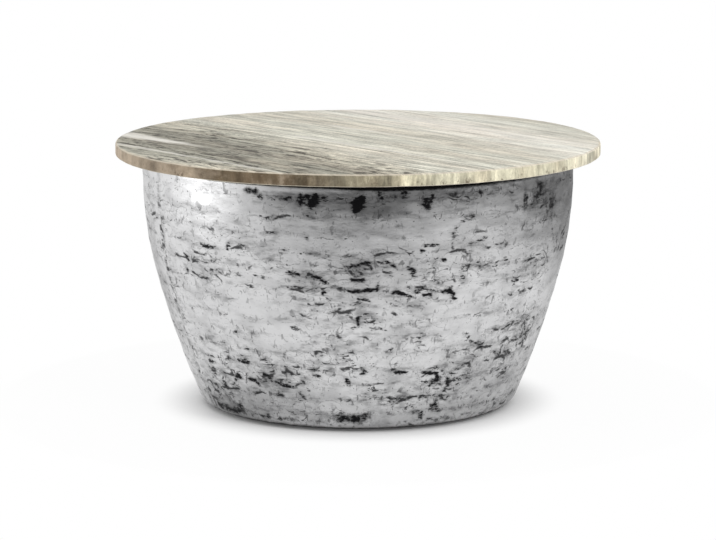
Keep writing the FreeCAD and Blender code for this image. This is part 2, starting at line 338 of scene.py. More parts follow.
class Graph:
    """Adds and links the nodes of one tree. A value is a number, a colour or another node's socket."""

    def __init__(self, tree):
        self.tree = tree

    def feed(self, socket, value):
        """Link a socket to a node, or set its number or its colour of three parts."""
        if isinstance(value, bpy.types.NodeSocket):
            self.tree.links.new(value, socket)
        elif socket.type == "RGBA" and len(value) == 3:
            socket.default_value = (*value, 1.0)
        else:
            socket.default_value = value

    def add(self, kind, inputs=None, **settings):
        """A new node with its settings and what its inputs are fed."""
        node = self.tree.nodes.new(kind)
        for key, value in settings.items():
            setattr(node, key, value)
        for key, value in (inputs or {}).items():
            self.feed(node.inputs[key], value)
        return node

    def math(self, operation, first, second=0.0, clamp=False):
        inputs = {0: first, 1: second}
        return self.add("ShaderNodeMath", inputs, operation=operation, use_clamp=clamp).outputs[0]

    def chain(self, operation, values):
        """Values joined by one operation, first to last."""
        total = values[0]
        for value in values[1:]:
            total = self.math(operation, total, value)
        return total

    def sum(self, *values):
        return self.chain("ADD", values)

    def product(self, *values):
        return self.chain("MULTIPLY", values)

    def most(self, *values):
        return self.chain("MAXIMUM", values)

    def minus(self, first, second):
        return self.math("SUBTRACT", first, second)

    def absolute(self, value):
        return self.math("ABSOLUTE", value)

    def attribute(self, name):
        """A number that the mesh keeps for each vertex."""
        return self.add("ShaderNodeAttribute", attribute_name=name).outputs["Fac"]

    def vector(self, operation, first, second):
        inputs = {0: first, 1: second}
        return self.add("ShaderNodeVectorMath", inputs, operation=operation).outputs[0]

    def unit(self, vector):
        return self.add("ShaderNodeVectorMath", {0: vector}, operation="NORMALIZE").outputs[0]

    def dot(self, first, second):
        inputs = {0: first, 1: second}
        return self.add("ShaderNodeVectorMath", inputs, operation="DOT_PRODUCT").outputs["Value"]

    def split(self, vector):
        return self.add("ShaderNodeSeparateXYZ", {"Vector": vector}).outputs

    def join(self, x, y, z=0.0):
        return self.add("ShaderNodeCombineXYZ", {"X": x, "Y": y, "Z": z}).outputs[0]

    def step(self, value, low, high, start=0.0, end=1.0):
        """A smooth step from start to end, as the value goes from low to high."""
        inputs = {"Value": value, "From Min": low, "From Max": high, "To Min": start, "To Max": end}
        return self.add("ShaderNodeMapRange", inputs, interpolation_type="SMOOTHSTEP").outputs[0]

    def step_even(self, value, low, high, start=0.0, end=1.0):
        """A straight slope from start to end, as the value goes from low to high."""
        inputs = {"Value": value, "From Min": low, "From Max": high, "To Min": start, "To Max": end}
        return self.add("ShaderNodeMapRange", inputs).outputs[0]

    def offset(self, noise, amount):
        """A noise made to swing about 0, by about a quarter of the amount each way."""
        return self.product(self.minus(noise, 0.5), amount)

    def ramp(self, node, stops):
        """Set a colour ramp's stops, each a place from 0 to 1 and a colour."""
        elements = node.color_ramp.elements
        while len(elements) < len(stops):
            elements.new(0.5)
        for element, (at, rgba) in zip(elements, stops):
            element.position = at
            element.color = rgba

    def noise(self, vector, scale, detail=2.0, roughness=0.5):
        """Noise whose scale is one number, or a size for each axis."""
        if not isinstance(scale, (int, float)):
            vector = self.vector("MULTIPLY", vector, scale)
            scale = 1.0
        inputs = {"Vector": vector, "Scale": scale, "Detail": detail, "Roughness": roughness}
        return self.add("ShaderNodeTexNoise", inputs).outputs["Fac"]

    def mix(self, factor, first, second, blend="MIX"):
        node = self.add("ShaderNodeMix", {0: factor, 6: first, 7: second}, data_type="RGBA", blend_type=blend)
        return node.outputs[2]

    def tint(self, tone, tint):
        """A tone times a colour or a number."""
        return self.mix(1.0, tone, tint, "MULTIPLY")

    def bump(self, height, distance, strength=1.0):
        inputs = {"Height": height, "Distance": distance, "Strength": strength}
        return self.add("ShaderNodeBump", inputs).outputs["Normal"]


def new_finish(name):
    """A new material with its graph and its surface shader."""
    material = bpy.data.materials.new(name)
    material.use_nodes = True
    surface = material.node_tree.nodes["Principled BSDF"]
    return material, Graph(material.node_tree), surface


def object_place(graph):
    """The place on a piece, in metres."""
    return graph.add("ShaderNodeTexCoord").outputs["Object"]


def grain_place(graph, turn):
    """The place in the stone, along the grain, across it and up."""
    mapping = graph.add("ShaderNodeMapping", {"Vector": object_place(graph), "Rotation": (0, 0, turn)})
    return mapping.outputs["Vector"]


def stone_veins(graph, along, bent, bent_place):
    """How strongly each place lies in a pale vein."""
    veins = 0.0
    fray = graph.offset(graph.noise(bent_place, (20.0, 75.0, 9.0), 5, 0.72), 0.026)
    for vein_across, half_width, start, end, strength in STONE_VEINS:
        gap = graph.absolute(graph.sum(graph.minus(bent, vein_across), fray))
        width = graph.step(along, start, end, 1.6 * half_width, 0.4 * half_width)
        core = graph.step(gap, graph.product(width, 0.2), graph.product(width, 1.3), 1.0, 0.0)
        starting = graph.step(along, start, start + 0.05)
        ending = graph.step(along, end - 0.12, end, 1.0, 0.0)
        veins = graph.most(veins, graph.product(core, graph.product(starting, ending), strength))
    return veins


def cut_edge_tone(graph, settings, tone, place, bent_place, facing, cut_edge):
    """The tone with the slab's cut edge: warm, brown and banded in front, pitted below, and a pale line where
    the eased edge turns, partly wear and partly a painted highlight.
    """
    along, across, up = graph.split(place)
    band = graph.noise(bent_place, (26.0, 50.0, 46.0), 4, 0.68)
    brown = graph.sum(graph.step(along, -0.02, 0.12, 0.0, 1.06), graph.step(along, -0.24, -0.04, -0.34, 0.0))
    brown = graph.math("ADD", brown, graph.offset(band, 2.4), clamp=True)
    soak = graph.mix(brown, settings.tan, settings.umber)
    soak = graph.tint(soak, graph.step(along, -0.24, -0.04, 1.25, 1.0))
    soaked = graph.product(cut_edge, graph.step(across, -0.34, -0.19, 0.9, 0.0))
    tone = graph.mix(soaked, tone, soak)
    tone = graph.tint(tone, graph.mix(cut_edge, (1.0, 1.0, 1.0), (0.95, 0.92, 0.81)))

    fine = graph.noise(bent_place, (24.0, 56.0, 16.0), 4, 0.65)
    wide = graph.noise(bent_place, (5.0, 30.0, 3.0), 2)
    in_fine = graph.minus(graph.step(along, -0.10, 0.16, 1.6, 3.2), graph.step(along, 0.22, 0.36, 0.0, 0.9))
    in_wide = graph.step(along, 0.12, 0.30, 0.0, 1.5)
    bands = graph.sum(graph.offset(fine, in_fine), graph.offset(wide, in_wide))
    tone = graph.tint(tone, graph.sum(1.0, graph.product(bands, cut_edge)))

    pit = graph.step(graph.noise(place, (110.0, 110.0, 80.0), 3, 0.65), 0.57, 0.66)
    low_down = graph.step(up, STONE_LOW.z + 0.001, STONE_LOW.z + 0.013, 0.75, 0.1)
    tone = graph.mix(graph.product(pit, low_down, cut_edge), tone, settings.umber)
    # Pale line where the eased edge turns: partly wear, partly a painted highlight.
    arris = graph.product(graph.step(facing, 0.45, 0.75), graph.step(facing, 0.90, 0.985, 1.0, 0.0))
    arris = graph.product(arris, graph.step(band, 0.3, 0.6, 0.45, 0.9))
    return graph.mix(arris, tone, settings.arris)


def stone_finish(settings):
    """Cream stone with a grey-brown side, straight streaks, flecks and pale veins."""
    material, graph, surface = new_finish("grained_stone")
    place = grain_place(graph, settings.grain_turn)
    along, across, up = graph.split(place)
    sway = graph.offset(graph.noise(place, (1.8, 4.0, 3.0), 2), 0.030)
    ripple = graph.offset(graph.noise(place, (8.0, 34.0, 9.0), 3), 0.005)
    bent = graph.sum(across, graph.sum(sway, ripple))
    bent_place = graph.join(along, bent, up)
    broad = graph.noise(bent_place, (1.1, 24.0, 2.0), 3, 0.6)
    streak = graph.noise(bent_place, (2.2, 62.0, 4.0), 5, 0.66)
    dash = graph.noise(bent_place, (18.0, 100.0, 26.0), 4, 0.65)
    thread = graph.noise(bent_place, (9.0, 150.0, 9.0), 4, 0.7)
    crystal = graph.noise(place, 260.0, 3, 0.75)

    # Broad tones from the grey-brown side to the cream one, by metres across the grain.
    reach = graph.sum(bent, graph.sum(graph.offset(broad, 0.10), graph.product(along, 0.10)))
    bed_end = 0.40
    bed = graph.add("ShaderNodeValToRGB", {"Fac": graph.step_even(reach, -bed_end, bed_end)})
    tones = (
        (-0.36, settings.middle),
        (-0.27, settings.dark),
        (-0.20, settings.dark),
        (-0.15, settings.middle),
        (-0.09, settings.pale),
        (0.10, settings.pale),
        (0.22, settings.bright),
        (0.34, settings.pale),
    )
    graph.ramp(bed, [((at + bed_end) / (2 * bed_end), (*rgb, 1.0)) for at, rgb in tones])
    tone = bed.outputs["Color"]
    grey_side = graph.step(reach, -0.17, -0.06, 1.0, 0.0)

    # Streaks, dashes and crystals, calmer on the cut edge.
    facing = graph.absolute(graph.split(graph.add("ShaderNodeNewGeometry").outputs["Normal"])[2])
    cut_edge = graph.step(facing, 0.35, 0.75, 1.0, 0.0)
    swing = graph.step_even(reach, -0.15, 0.25, 1.25, 0.75)
    swing = graph.product(swing, graph.step(cut_edge, 0.0, 1.0, 1.0, 0.45))
    gain = 0.0
    dashed = graph.step(grey_side, 0.0, 1.0, 1.0, 1.9)
    for grain, amount in ((streak, 1.3), (dash, dashed), (thread, 2.0), (crystal, 1.2)):
        gain = graph.sum(gain, graph.offset(grain, amount))
    tone = graph.tint(tone, graph.sum(1.0, graph.product(gain, swing)))

    # Hairlines, flecks and a slow change of warmth.
    hairline = graph.step(graph.noise(bent_place, (1.8, 120.0, 3.0), 3, 0.6), 0.57, 0.66, 0.0, 0.5)
    tone = graph.mix(graph.product(hairline, graph.step(dash, 0.35, 0.6)), tone, settings.middle)
    fleck = graph.noise(bent_place, (33.0, 108.0, 40.0), 4, 0.70)
    patchy = graph.step(graph.noise(place, (7.0, 16.0, 6.0), 2), 0.30, 0.50)
    glints = graph.product(graph.step(fleck, 0.36, 0.45, 0.5, 0.0), grey_side)
    tone = graph.mix(glints, tone, settings.middle)
    specked = graph.product(graph.step(fleck, 0.50, 0.61, 0.0, 0.93), patchy, grey_side)
    specked = graph.product(specked, graph.step(cut_edge, 0.0, 1.0, 1.0, 0.25))
    tone = graph.mix(specked, tone, settings.fleck)
    warm = graph.noise(bent_place, (3.0, 17.0, 3.0), 3, 0.6)
    tone = graph.tint(tone, graph.mix(graph.step(warm, 0.35, 0.65), (0.98, 1.0, 0.99), (1.03, 1.0, 0.965)))
    from_darkest = graph.absolute(graph.sum(along, 0.10))
    lift = graph.step(from_darkest, 0.06, 0.22, 1.0, 1.25)
    tone = graph.tint(tone, graph.step(grey_side, 0.0, 1.0, 1.0, lift))

    veins = graph.product(stone_veins(graph, along, bent, bent_place), graph.step(thread, 0.12, 0.42))
    tone = graph.mix(veins, tone, settings.bright)
    tone = cut_edge_tone(graph, settings, tone, place, bent_place, facing, cut_edge)

    graph.feed(surface.inputs["Base Color"], tone)
    graph.feed(surface.inputs["Roughness"], graph.step(streak, 0.3, 0.7, 0.52, 0.40))
    surface.inputs["Specular IOR Level"].default_value = 0.03
    graph.feed(surface.inputs["Normal"], graph.bump(graph.noise(place, 900.0, 3), 0.0002, 0.3))
    return material


def blow_cells(graph, unrolled, settings):
    """Cells of the hammer blows, in rough rows: one unit is one blow wide or high."""
    wander = graph.add("ShaderNodeTexNoise", {"Vector": unrolled, "Scale": 24.0, "Detail": 2.0})
    wander = graph.vector("SUBTRACT", wander.outputs["Color"], (0.5, 0.5, 0.5))
    wander = graph.vector("MULTIPLY", wander, (0.026, 0.015, 0.0))
    bent = graph.vector("ADD", unrolled, wander)
    return graph.vector("MULTIPLY", bent, (1 / settings.blow_width, 1 / settings.blow_height, 0.0))


def blow_points(graph, cells):
    """The nearest blow: its distance, its own chances and the way from its middle."""
    inputs = {"Vector": cells, "Scale": 1.0, "Randomness": 0.8}
    blow = graph.add("ShaderNodeTexVoronoi", inputs, voronoi_dimensions="2D", feature="F1")
    inside = graph.vector("SUBTRACT", cells, blow.outputs["Position"])
    return blow.outputs["Distance"], blow.outputs["Color"], inside


def crescents(graph, cells, busy, ragged, thin, thick):
    """Stain along one side of each blow's rim, tapered to its two ends and faded towards the next blow."""
    reach, chance, inside = blow_points(graph, cells)
    inputs = {"Vector": cells, "Scale": 1.0, "Randomness": 0.8}
    border = graph.add("ShaderNodeTexVoronoi", inputs, voronoi_dimensions="2D", feature="DISTANCE_TO_EDGE")
    within = graph.step(border.outputs["Distance"], 0.0, 0.09)
    turn, size, luck = graph.add("ShaderNodeSeparateColor", {"Color": chance}).outputs[:3]
    heading = graph.product(turn, 2 * math.pi)
    toward = graph.join(graph.product(graph.math("COSINE", heading), 0.6), graph.math("SINE", heading))
    taper = graph.step(graph.dot(graph.unit(inside), toward), -0.1, 0.85)
    gap = graph.sum(reach, graph.offset(ragged, 0.34))
    gap = graph.absolute(graph.minus(gap, graph.step(size, 0.0, 1.0, 0.28, 0.50)))
    width = graph.sum(0.008, graph.product(taper, graph.step(busy, 0.1, 1.0, thin, thick)))
    ink = graph.step(gap, graph.product(width, 0.1), graph.product(width, 1.25), 1.0, 0.0)
    kept = graph.step(graph.sum(luck, busy), 0.62, 1.10)
    ink = graph.product(ink, taper, kept, graph.step(busy, 0.15, 0.75, 0.40, 1.0))
    outline = graph.product(graph.step(gap, 0.004, 0.036, 0.50, 0.0), graph.step(busy, -0.15, 0.25))
    return graph.product(graph.most(ink, graph.product(outline, graph.step(luck, 0.15, 0.65))), within)


def strokes(graph, place, scale, detail, width):
    """Thin bent strokes of stain, as thick as the width and tapered where it runs out."""
    gap = graph.absolute(graph.minus(graph.noise(place, scale, detail, 0.55), 0.5))
    return graph.step(gap, graph.product(width, 0.1), graph.most(graph.product(width, 1.25), 0.002), 1.0, 0.0)


def way_from_seam(graph, around, settings):
    """How far a place is from the sheet's upright seam, the shorter way round."""
    whole_turn = 2 * math.pi * settings.unrolled_radius
    return graph.math("MINIMUM", around, graph.minus(whole_turn, around))


def small_marks(graph, unrolled, cells, busy, ragged, torn, smear, hair):
    """Stain in crescents at the blows' rims, smears, strokes, ticks, hairs and specks."""
    small_cells = graph.vector("MULTIPLY", graph.vector("ADD", cells, (7.3, 3.7, 0.0)), (1.9, 1.75, 0.0))
    large = crescents(graph, cells, busy, ragged, 0.04, 0.19)
    small = crescents(graph, small_cells, graph.minus(busy, 0.10), ragged, 0.05, 0.24)
    smears = graph.step(smear, 0.745, 0.825)

    press = graph.sum(graph.noise(unrolled, (40.0, 58.0, 0.0), 3, 0.6), graph.product(busy, 0.20))
    broken = graph.step(graph.noise(unrolled, (78.0, 34.0, 0.0), 2), 0.38, 0.60, 0.15, 1.0)
    long_width = graph.product(graph.step(press, 0.62, 0.90, 0.0, 0.072), broken)
    long_strokes = strokes(graph, unrolled, (20.0, 62.0, 0.0), 3, long_width)
    short_width = graph.product(graph.step(press, 0.66, 0.96, 0.0, 0.080), broken)
    aside = graph.vector("ADD", unrolled, (3.1, 1.7, 0.0))
    short_strokes = strokes(graph, aside, (44.0, 60.0, 0.0), 2, short_width)
    lines = graph.product(graph.most(long_strokes, short_strokes), graph.step(press, 0.62, 0.78, 0.30, 1.0))
    marks = graph.most(large, small, smears, lines)
    frayed = graph.step(graph.sum(marks, graph.offset(torn, 1.1)), 0.18, 0.92)
    marks = graph.product(frayed, graph.step(marks, 0.03, 0.25))

    tick_width = graph.step(graph.noise(unrolled, (84.0, 70.0, 0.0), 2), 0.54, 0.74, 0.0, 0.10)
    aside = graph.vector("ADD", unrolled, (5.3, 2.9, 0.0))
    ticks = strokes(graph, aside, (96.0, 40.0, 0.0), 1, tick_width)
    ticks = graph.product(ticks, graph.step(busy, 0.0, 0.7, 0.32, 0.70))
    hairs = graph.step(graph.sum(hair, graph.product(busy, 0.12)), 0.66, 0.75, 0.0, 0.5)
    specks = graph.step(graph.noise(unrolled, 210.0, 2), 0.69, 0.73, 0.0, 0.85)
    return graph.most(marks, ticks, hairs, specks)


def painted_stain_and_shade(graph, unrolled, ragged, torn, mottle, stroke):
    """The blots and bold strokes of stain, and the painted shade under the rim and at the foot, that are
    painted on the mesh, with ragged edges.
    """
    blot = graph.attribute("stain_blot")
    drip = graph.noise(unrolled, (135.0, 36.0, 0.0), 3, 0.6)
    edge = graph.sum(blot, graph.offset(ragged, 1.2), graph.offset(mottle, 1.7), graph.offset(drip, 0.8))
    blots = graph.product(graph.step(edge, 0.08, 0.78), graph.step(blot, 0.02, 0.20))
    edge = graph.sum(stroke, graph.offset(ragged, 1.7), graph.offset(torn, 1.9), graph.offset(mottle, 0.9))
    bold = graph.product(graph.step(edge, 0.28, 0.86), graph.step(stroke, 0.05, 0.36))
    # Painted shade: the dark line under the rim and the dark underside of the foot.
    shade_rings = graph.step(graph.sum(graph.attribute("painted_shade_ring"), graph.offset(ragged, 0.9)), 0.15, 0.85)
    return graph.most(blots, bold, shade_rings)


def hammered_finish(settings):
    """Bright hammered metal with black antique stain in its creases, dashes and blotches, and painted shade
    under the rim, at the foot and in darker clouds.
    """
    material, graph, surface = new_finish("hammered_silver")
    unrolled = graph.add("ShaderNodeUVMap", uv_map="unrolled").outputs["UV"]
    around, down, _ = graph.split(unrolled)
    stroke = graph.attribute("stain_stroke")
    cells = blow_cells(graph, unrolled, settings)
    row = graph.step(graph.math("PINGPONG", graph.split(cells)[1], 0.5), 0.02, 0.24, 0.22, -0.06)
    patch = graph.step(graph.noise(unrolled, (11.0, 16.0, 0.0), 3, 0.65), 0.34, 0.66, 0.12, 0.66)
    busy = graph.sum(graph.product(graph.attribute("mark_crowd"), 0.75), graph.sum(patch, row))
    ragged = graph.noise(unrolled, (95.0, 160.0, 0.0), 5, 0.7)
    torn = graph.noise(unrolled, (150.0, 330.0, 0.0), 3, 0.6)
    mottle = graph.noise(unrolled, (52.0, 85.0, 0.0), 4, 0.65)
    hair = graph.noise(unrolled, (70.0, 420.0, 0.0), 4, 0.6)
    smear = graph.sum(graph.noise(unrolled, (42.0, 96.0, 0.0), 4, 0.6), graph.product(busy, 0.20))

    marks = small_marks(graph, unrolled, cells, busy, ragged, torn, smear, hair)
    painted = painted_stain_and_shade(graph, unrolled, ragged, torn, mottle, stroke)
    dab = graph.noise(unrolled, (10.0, 75.0, 0.0), 3, 0.6)
    near_seam = graph.step(way_from_seam(graph, around, settings), 0.002, 0.009, 1.0, 0.0)
    seam = graph.product(near_seam, graph.step(dab, 0.44, 0.62))
    worn = graph.product(graph.step(down, 0.03, 0.08, 0.4, 1.0), graph.step(down, 0.14, 0.26, 1.0, 0.5))
    # The painted part holds painted shade as well as stain: the dark line under the rim and the dark foot.
    stain = graph.most(graph.product(marks, 0.88), painted, graph.product(seam, worn))
    stain = graph.product(stain, graph.step(graph.attribute("bare_inside"), 0.0, 1.0, 1.0, 0.12))

    haze = graph.noise(unrolled, (14.0, 22.0, 0.0), 5, 0.65)
    bowl = blow_points(graph, cells)[0]
    # Thin antique stain, and in the painted clouds also painted shade, dim painted reflections and a painted
    # highlight strip under the rim.
    smoke_and_shade = graph.sum(
        graph.attribute("stain_and_shade_cloud"),
        graph.step(haze, 0.42, 0.75, 0.0, 0.30),
        graph.product(graph.step(mottle, 0.44, 0.68, 0.0, 0.55), busy),
        graph.step(smear, 0.58, 0.74, 0.0, 0.40),
        graph.step(stroke, 0.0, 0.7, 0.0, 0.26),
    )
    # Each blow a touch lighter in its middle and darker towards its edge: partly antique stain in the
    # creases, partly painted shade of the dent.
    smoke_and_shade = graph.math("ADD", smoke_and_shade, graph.step(bowl, 0.32, 0.70, -0.04, 0.16), clamp=True)
    shade = graph.mix(smoke_and_shade, settings.silver, settings.smoke_and_shade)
    shade = graph.mix(graph.step(hair, 0.27, 0.37, 0.5, 0.0), shade, settings.burnish)

    graph.feed(surface.inputs["Base Color"], graph.mix(stain, shade, settings.black))
    surface.inputs["Metallic"].default_value = 1.0
    graph.feed(surface.inputs["Roughness"], graph.step(stain, 0.0, 1.0, 0.32, 0.55))
    grit = graph.noise(unrolled, (150.0, 240.0, 0.0), 3)
    graph.feed(surface.inputs["Normal"], graph.bump(grit, 0.001, 0.22))
    return material


def brushed_finish(name, rgb, lines, roughness=0.42):
    """Mill metal with fine lines; lines gives their count per metre along X, Y and Z."""
    material, graph, surface = new_finish(name)
    place = object_place(graph)
    fine = graph.noise(place, lines, 4, 0.65)
    cloud = graph.noise(place, 14.0, 3)
    surface.inputs["Metallic"].default_value = 1.0
    dull = tuple(0.72 * part for part in rgb)
    tone = graph.mix(graph.step(cloud, 0.3, 0.7, 0.0, 0.6), rgb, dull)
    graph.feed(surface.inputs["Base Color"], tone)
    graph.feed(surface.inputs["Roughness"], graph.step(fine, 0.3, 0.7, roughness - 0.1, roughness + 0.1))
    graph.feed(surface.inputs["Normal"], graph.bump(fine, 0.0002, 0.3))
    return material


def plywood_finish(settings, thickness, top):
    """Veneer faces with long grain, and plies of two tones on the edge."""
    material, graph, surface = new_finish("plywood")
    place = object_place(graph)
    height = graph.split(place)[2]
    ring = graph.noise(place, (1.5, 42.0, 6.0), 4, 0.6)
    pore = graph.noise(place, (14.0, 420.0, 60.0), 3, 0.6)
    depth = graph.math("DIVIDE", graph.minus(top, height), thickness)
    ply = graph.math("PINGPONG", graph.product(depth, 7.0), 1.0)
    facing = graph.split(graph.add("ShaderNodeNewGeometry").outputs["Normal"])[2]
    edge = graph.step(graph.absolute(facing), 0.4, 0.9, 1.0, 0.0)
    veneer, inner = settings.veneer, settings.inner_ply
    tone = graph.mix(graph.step(ring, 0.35, 0.7, 0.0, 0.55), veneer, inner)
    tone = graph.mix(graph.product(graph.step(pore, 0.55, 0.7), 0.5), tone, inner)
    edge_tone = graph.mix(graph.step(ply, 0.4, 0.6), veneer, inner)
    graph.feed(surface.inputs["Base Color"], graph.mix(edge, tone, edge_tone))
    graph.feed(surface.inputs["Roughness"], graph.step(ring, 0.3, 0.7, 0.55, 0.68))
    graph.feed(surface.inputs["Normal"], graph.bump(pore, 0.0003, 0.4))
    return material


def soft_finish(name, rgb, roughness, transmission=0.0):
    """Silicone, sealant or nylon, with a faint moulded mottle."""
    material, graph, surface = new_finish(name)
    mottle = graph.noise(object_place(graph), 260.0, 3)
    darker = tuple(0.82 * part for part in rgb)
    graph.feed(surface.inputs["Base Color"], graph.mix(mottle, rgb, darker))
    graph.feed(surface.inputs["Roughness"], graph.step(mottle, 0.2, 0.8, roughness - 0.06, roughness + 0.06))
    graph.feed(surface.inputs["Normal"], graph.bump(mottle, 0.0002, 0.2))
    surface.inputs["Transmission Weight"].default_value = transmission
    surface.inputs["IOR"].default_value = 1.41
    return material


class TABLE_OT_stone_top(bpy.types.Operator):
    """Model the stone slab with its eased, slightly worn edges"""

    bl_idname = "table.stone_top"
    bl_label = "Stone Top"

    def execute(self, context):
        settings = context.scene.table_stone
        radius = max(STONE_HIGH.x, STONE_HIGH.y)
        thickness = STONE_HIGH.z - STONE_LOW.z
        bpy.ops.object.select_all(action="DESELECT")
        bpy.ops.mesh.primitive_circle_add(
            vertices=settings.segments, radius=radius, fill_type="NGON", location=(0, 0, STONE_LOW.z)
        )
        slab = new_piece("stone_slab")
        edit_all()
        extrude(0, 0, thickness)
        close_and_turn_out()
        for level, edge in ((STONE_HIGH.z, settings.upper_edge), (STONE_LOW.z, settings.lower_edge)):
            pick_edges(slab, lambda place: abs(place.z - level) < 1e-6)
            bpy.ops.mesh.bevel(offset=edge, segments=EDGE_ROWS, profile=0.5, affect="EDGES")
            pick_faces(slab, lambda middle, normal: abs(middle.z - level) < 1e-6)
            bpy.ops.mesh.inset(thickness=2 * edge)
        bpy.ops.object.mode_set(mode="OBJECT")
        self.wear_edges(slab, radius, settings)
        smooth(slab, 35)
        dress(slab, stone_finish(settings))
        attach(slab, "top")
        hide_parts("marble_top")
        return {"FINISHED"}

    def wear_edges(self, slab, radius, settings):
        """Wear the rim a little, unevenly, as hand easing does."""
        places = vertex_places(slab)
        rim = np.hypot(places[:, 0], places[:, 1]) > radius - settings.upper_edge * 1.01
        group = slab.vertex_groups.new(name="rim")
        group.add(np.flatnonzero(rim).tolist(), 1.0, "REPLACE")
        texture = bpy.data.textures.new("edge_wear", "CLOUDS")
        texture.noise_scale = 0.035
        texture.noise_depth = 3
        wear = slab.modifiers.new("wear", "DISPLACE")
        wear.texture = texture
        wear.texture_coords = "LOCAL"
        wear.vertex_group = group.name
        wear.strength = settings.edge_wear
        wear.mid_level = 1.0
        apply_modifiers(slab)
        slab.vertex_groups.clear()


# Broad stain on the side that faces front, with painted shade and highlights among its clouds: degrees from
# the middle, millimetres below the rim, half width in degrees, half height in millimetres, strength.
STAIN_AND_SHADE_SPOTS = {
    "mark_crowd": [
        (-12, 142, 7, 22, 0.4), (2, 138, 6, 34, 0.35), (18, 146, 11, 30, 0.3), (-48, 128, 7, 30, 0.35),
        (-42, 306, 16, 22, 0.5), (-23, 312, 9, 18, 0.35), (20, 302, 11, 14, 0.3),
        (10, 346, 5, 18, 0.35), (27, 326, 5, 24, 0.3), (54, 255, 11, 40, 0.7), (-54, 342, 9, 18, 0.55),
        (-10, 196, 14, 34, 0.25), (30, 66, 9, 26, -0.35), (-38, 80, 14, 26, 0.15),
        (50, 335, 22, 35, 0.2), (-2, 84, 18, 28, -0.45), (-47, 32, 15, 30, -0.6),
        (-38, 205, 12, 35, -0.5), (24, 20, 20, 7, 0.5), (-16, 12.5, 13, 3, -0.8),
    ],
    "stain_blot": [
        (5, 18, 2.2, 13, 0.4), (-28, 16, 1.8, 5, 0.7), (-21, 25, 5, 5, 0.4), (48.5, 44, 0.7, 16, 0.85),
        (54.5, 33, 3, 22, 0.7), (61, 53, 2.6, 22, 0.65), (-54, 18, 0.9, 8, 0.6), (-4, 386, 4, 8, 0.9),
        (2, 383, 3, 10, 0.6), (-45, 382, 2.2, 10, 0.6), (-63, 372, 2.5, 22, 0.5),
        (-38, 292, 2, 7, 0.5), (26, 352, 1.8, 12, 0.5), (72, 112, 3, 14, 0.35),
        (-50, 392, 12, 6, 0.55), (-30, 392, 10, 5, 0.4), (30, 394, 20, 4, 0.35), (11, 20, 3, 4, 0.6),
        (26, 22, 4, 5, 0.5), (33, 21, 1.2, 4, 0.7),
    ],
    # Clouds of thin antique stain and of painted light: painted shadow under the slab's overhang near the
    # rim, dim painted reflections at the left and right edges, painted shade near the foot, a cloud that dims
    # the lamp's highlight at the upper left, and a painted highlight strip under the rim where the strength
    # is below 0.
    "stain_and_shade_cloud": [
        (0, 12, 14, 55, 0.5), (-14, 20, 8, 25, 0.3), (30, 15, 26, 45, 0.24), (60, 40, 14, 45, 0.38),
        (56, 38, 4.5, 24, 0.45), (-44, 378, 24, 40, 0.55), (20, 390, 40, 22, 0.3),
        (0, 140, 14, 40, 0.3), (55, 300, 20, 80, 0.16), (73, 110, 9, 90, 0.35),
        (-6, 100, 18, 30, 0.24), (62, 108, 18, 34, 0.4), (8, 55, 9, 30, 0.16), (2, 165, 16, 50, 0.16),
        (56, 340, 22, 60, 0.2), (78, 220, 10, 160, 0.52), (-76, 200, 8, 120, 0.62),
        (-34, 160, 10, 50, -0.1), (14, 340, 30, 40, 0.1), (-16, 12.5, 13, 3, -0.5),
        (22, 18, 20, 12, 0.52), (-20, 26, 8, 12, 0.28), (-28, 335, 11, 35, 0.3),
        (38, 330, 14, 30, 0.15), (-38, 30, 14, 24, 0.15), (-12, 27, 4, 13, 0.26),
        (0, 31, 3.4, 15, 0.26), (17.5, 31, 3, 13, 0.2), (-54, 391, 9, 14, 0.3), (5, 335, 60, 50, 0.06),
    ],
}
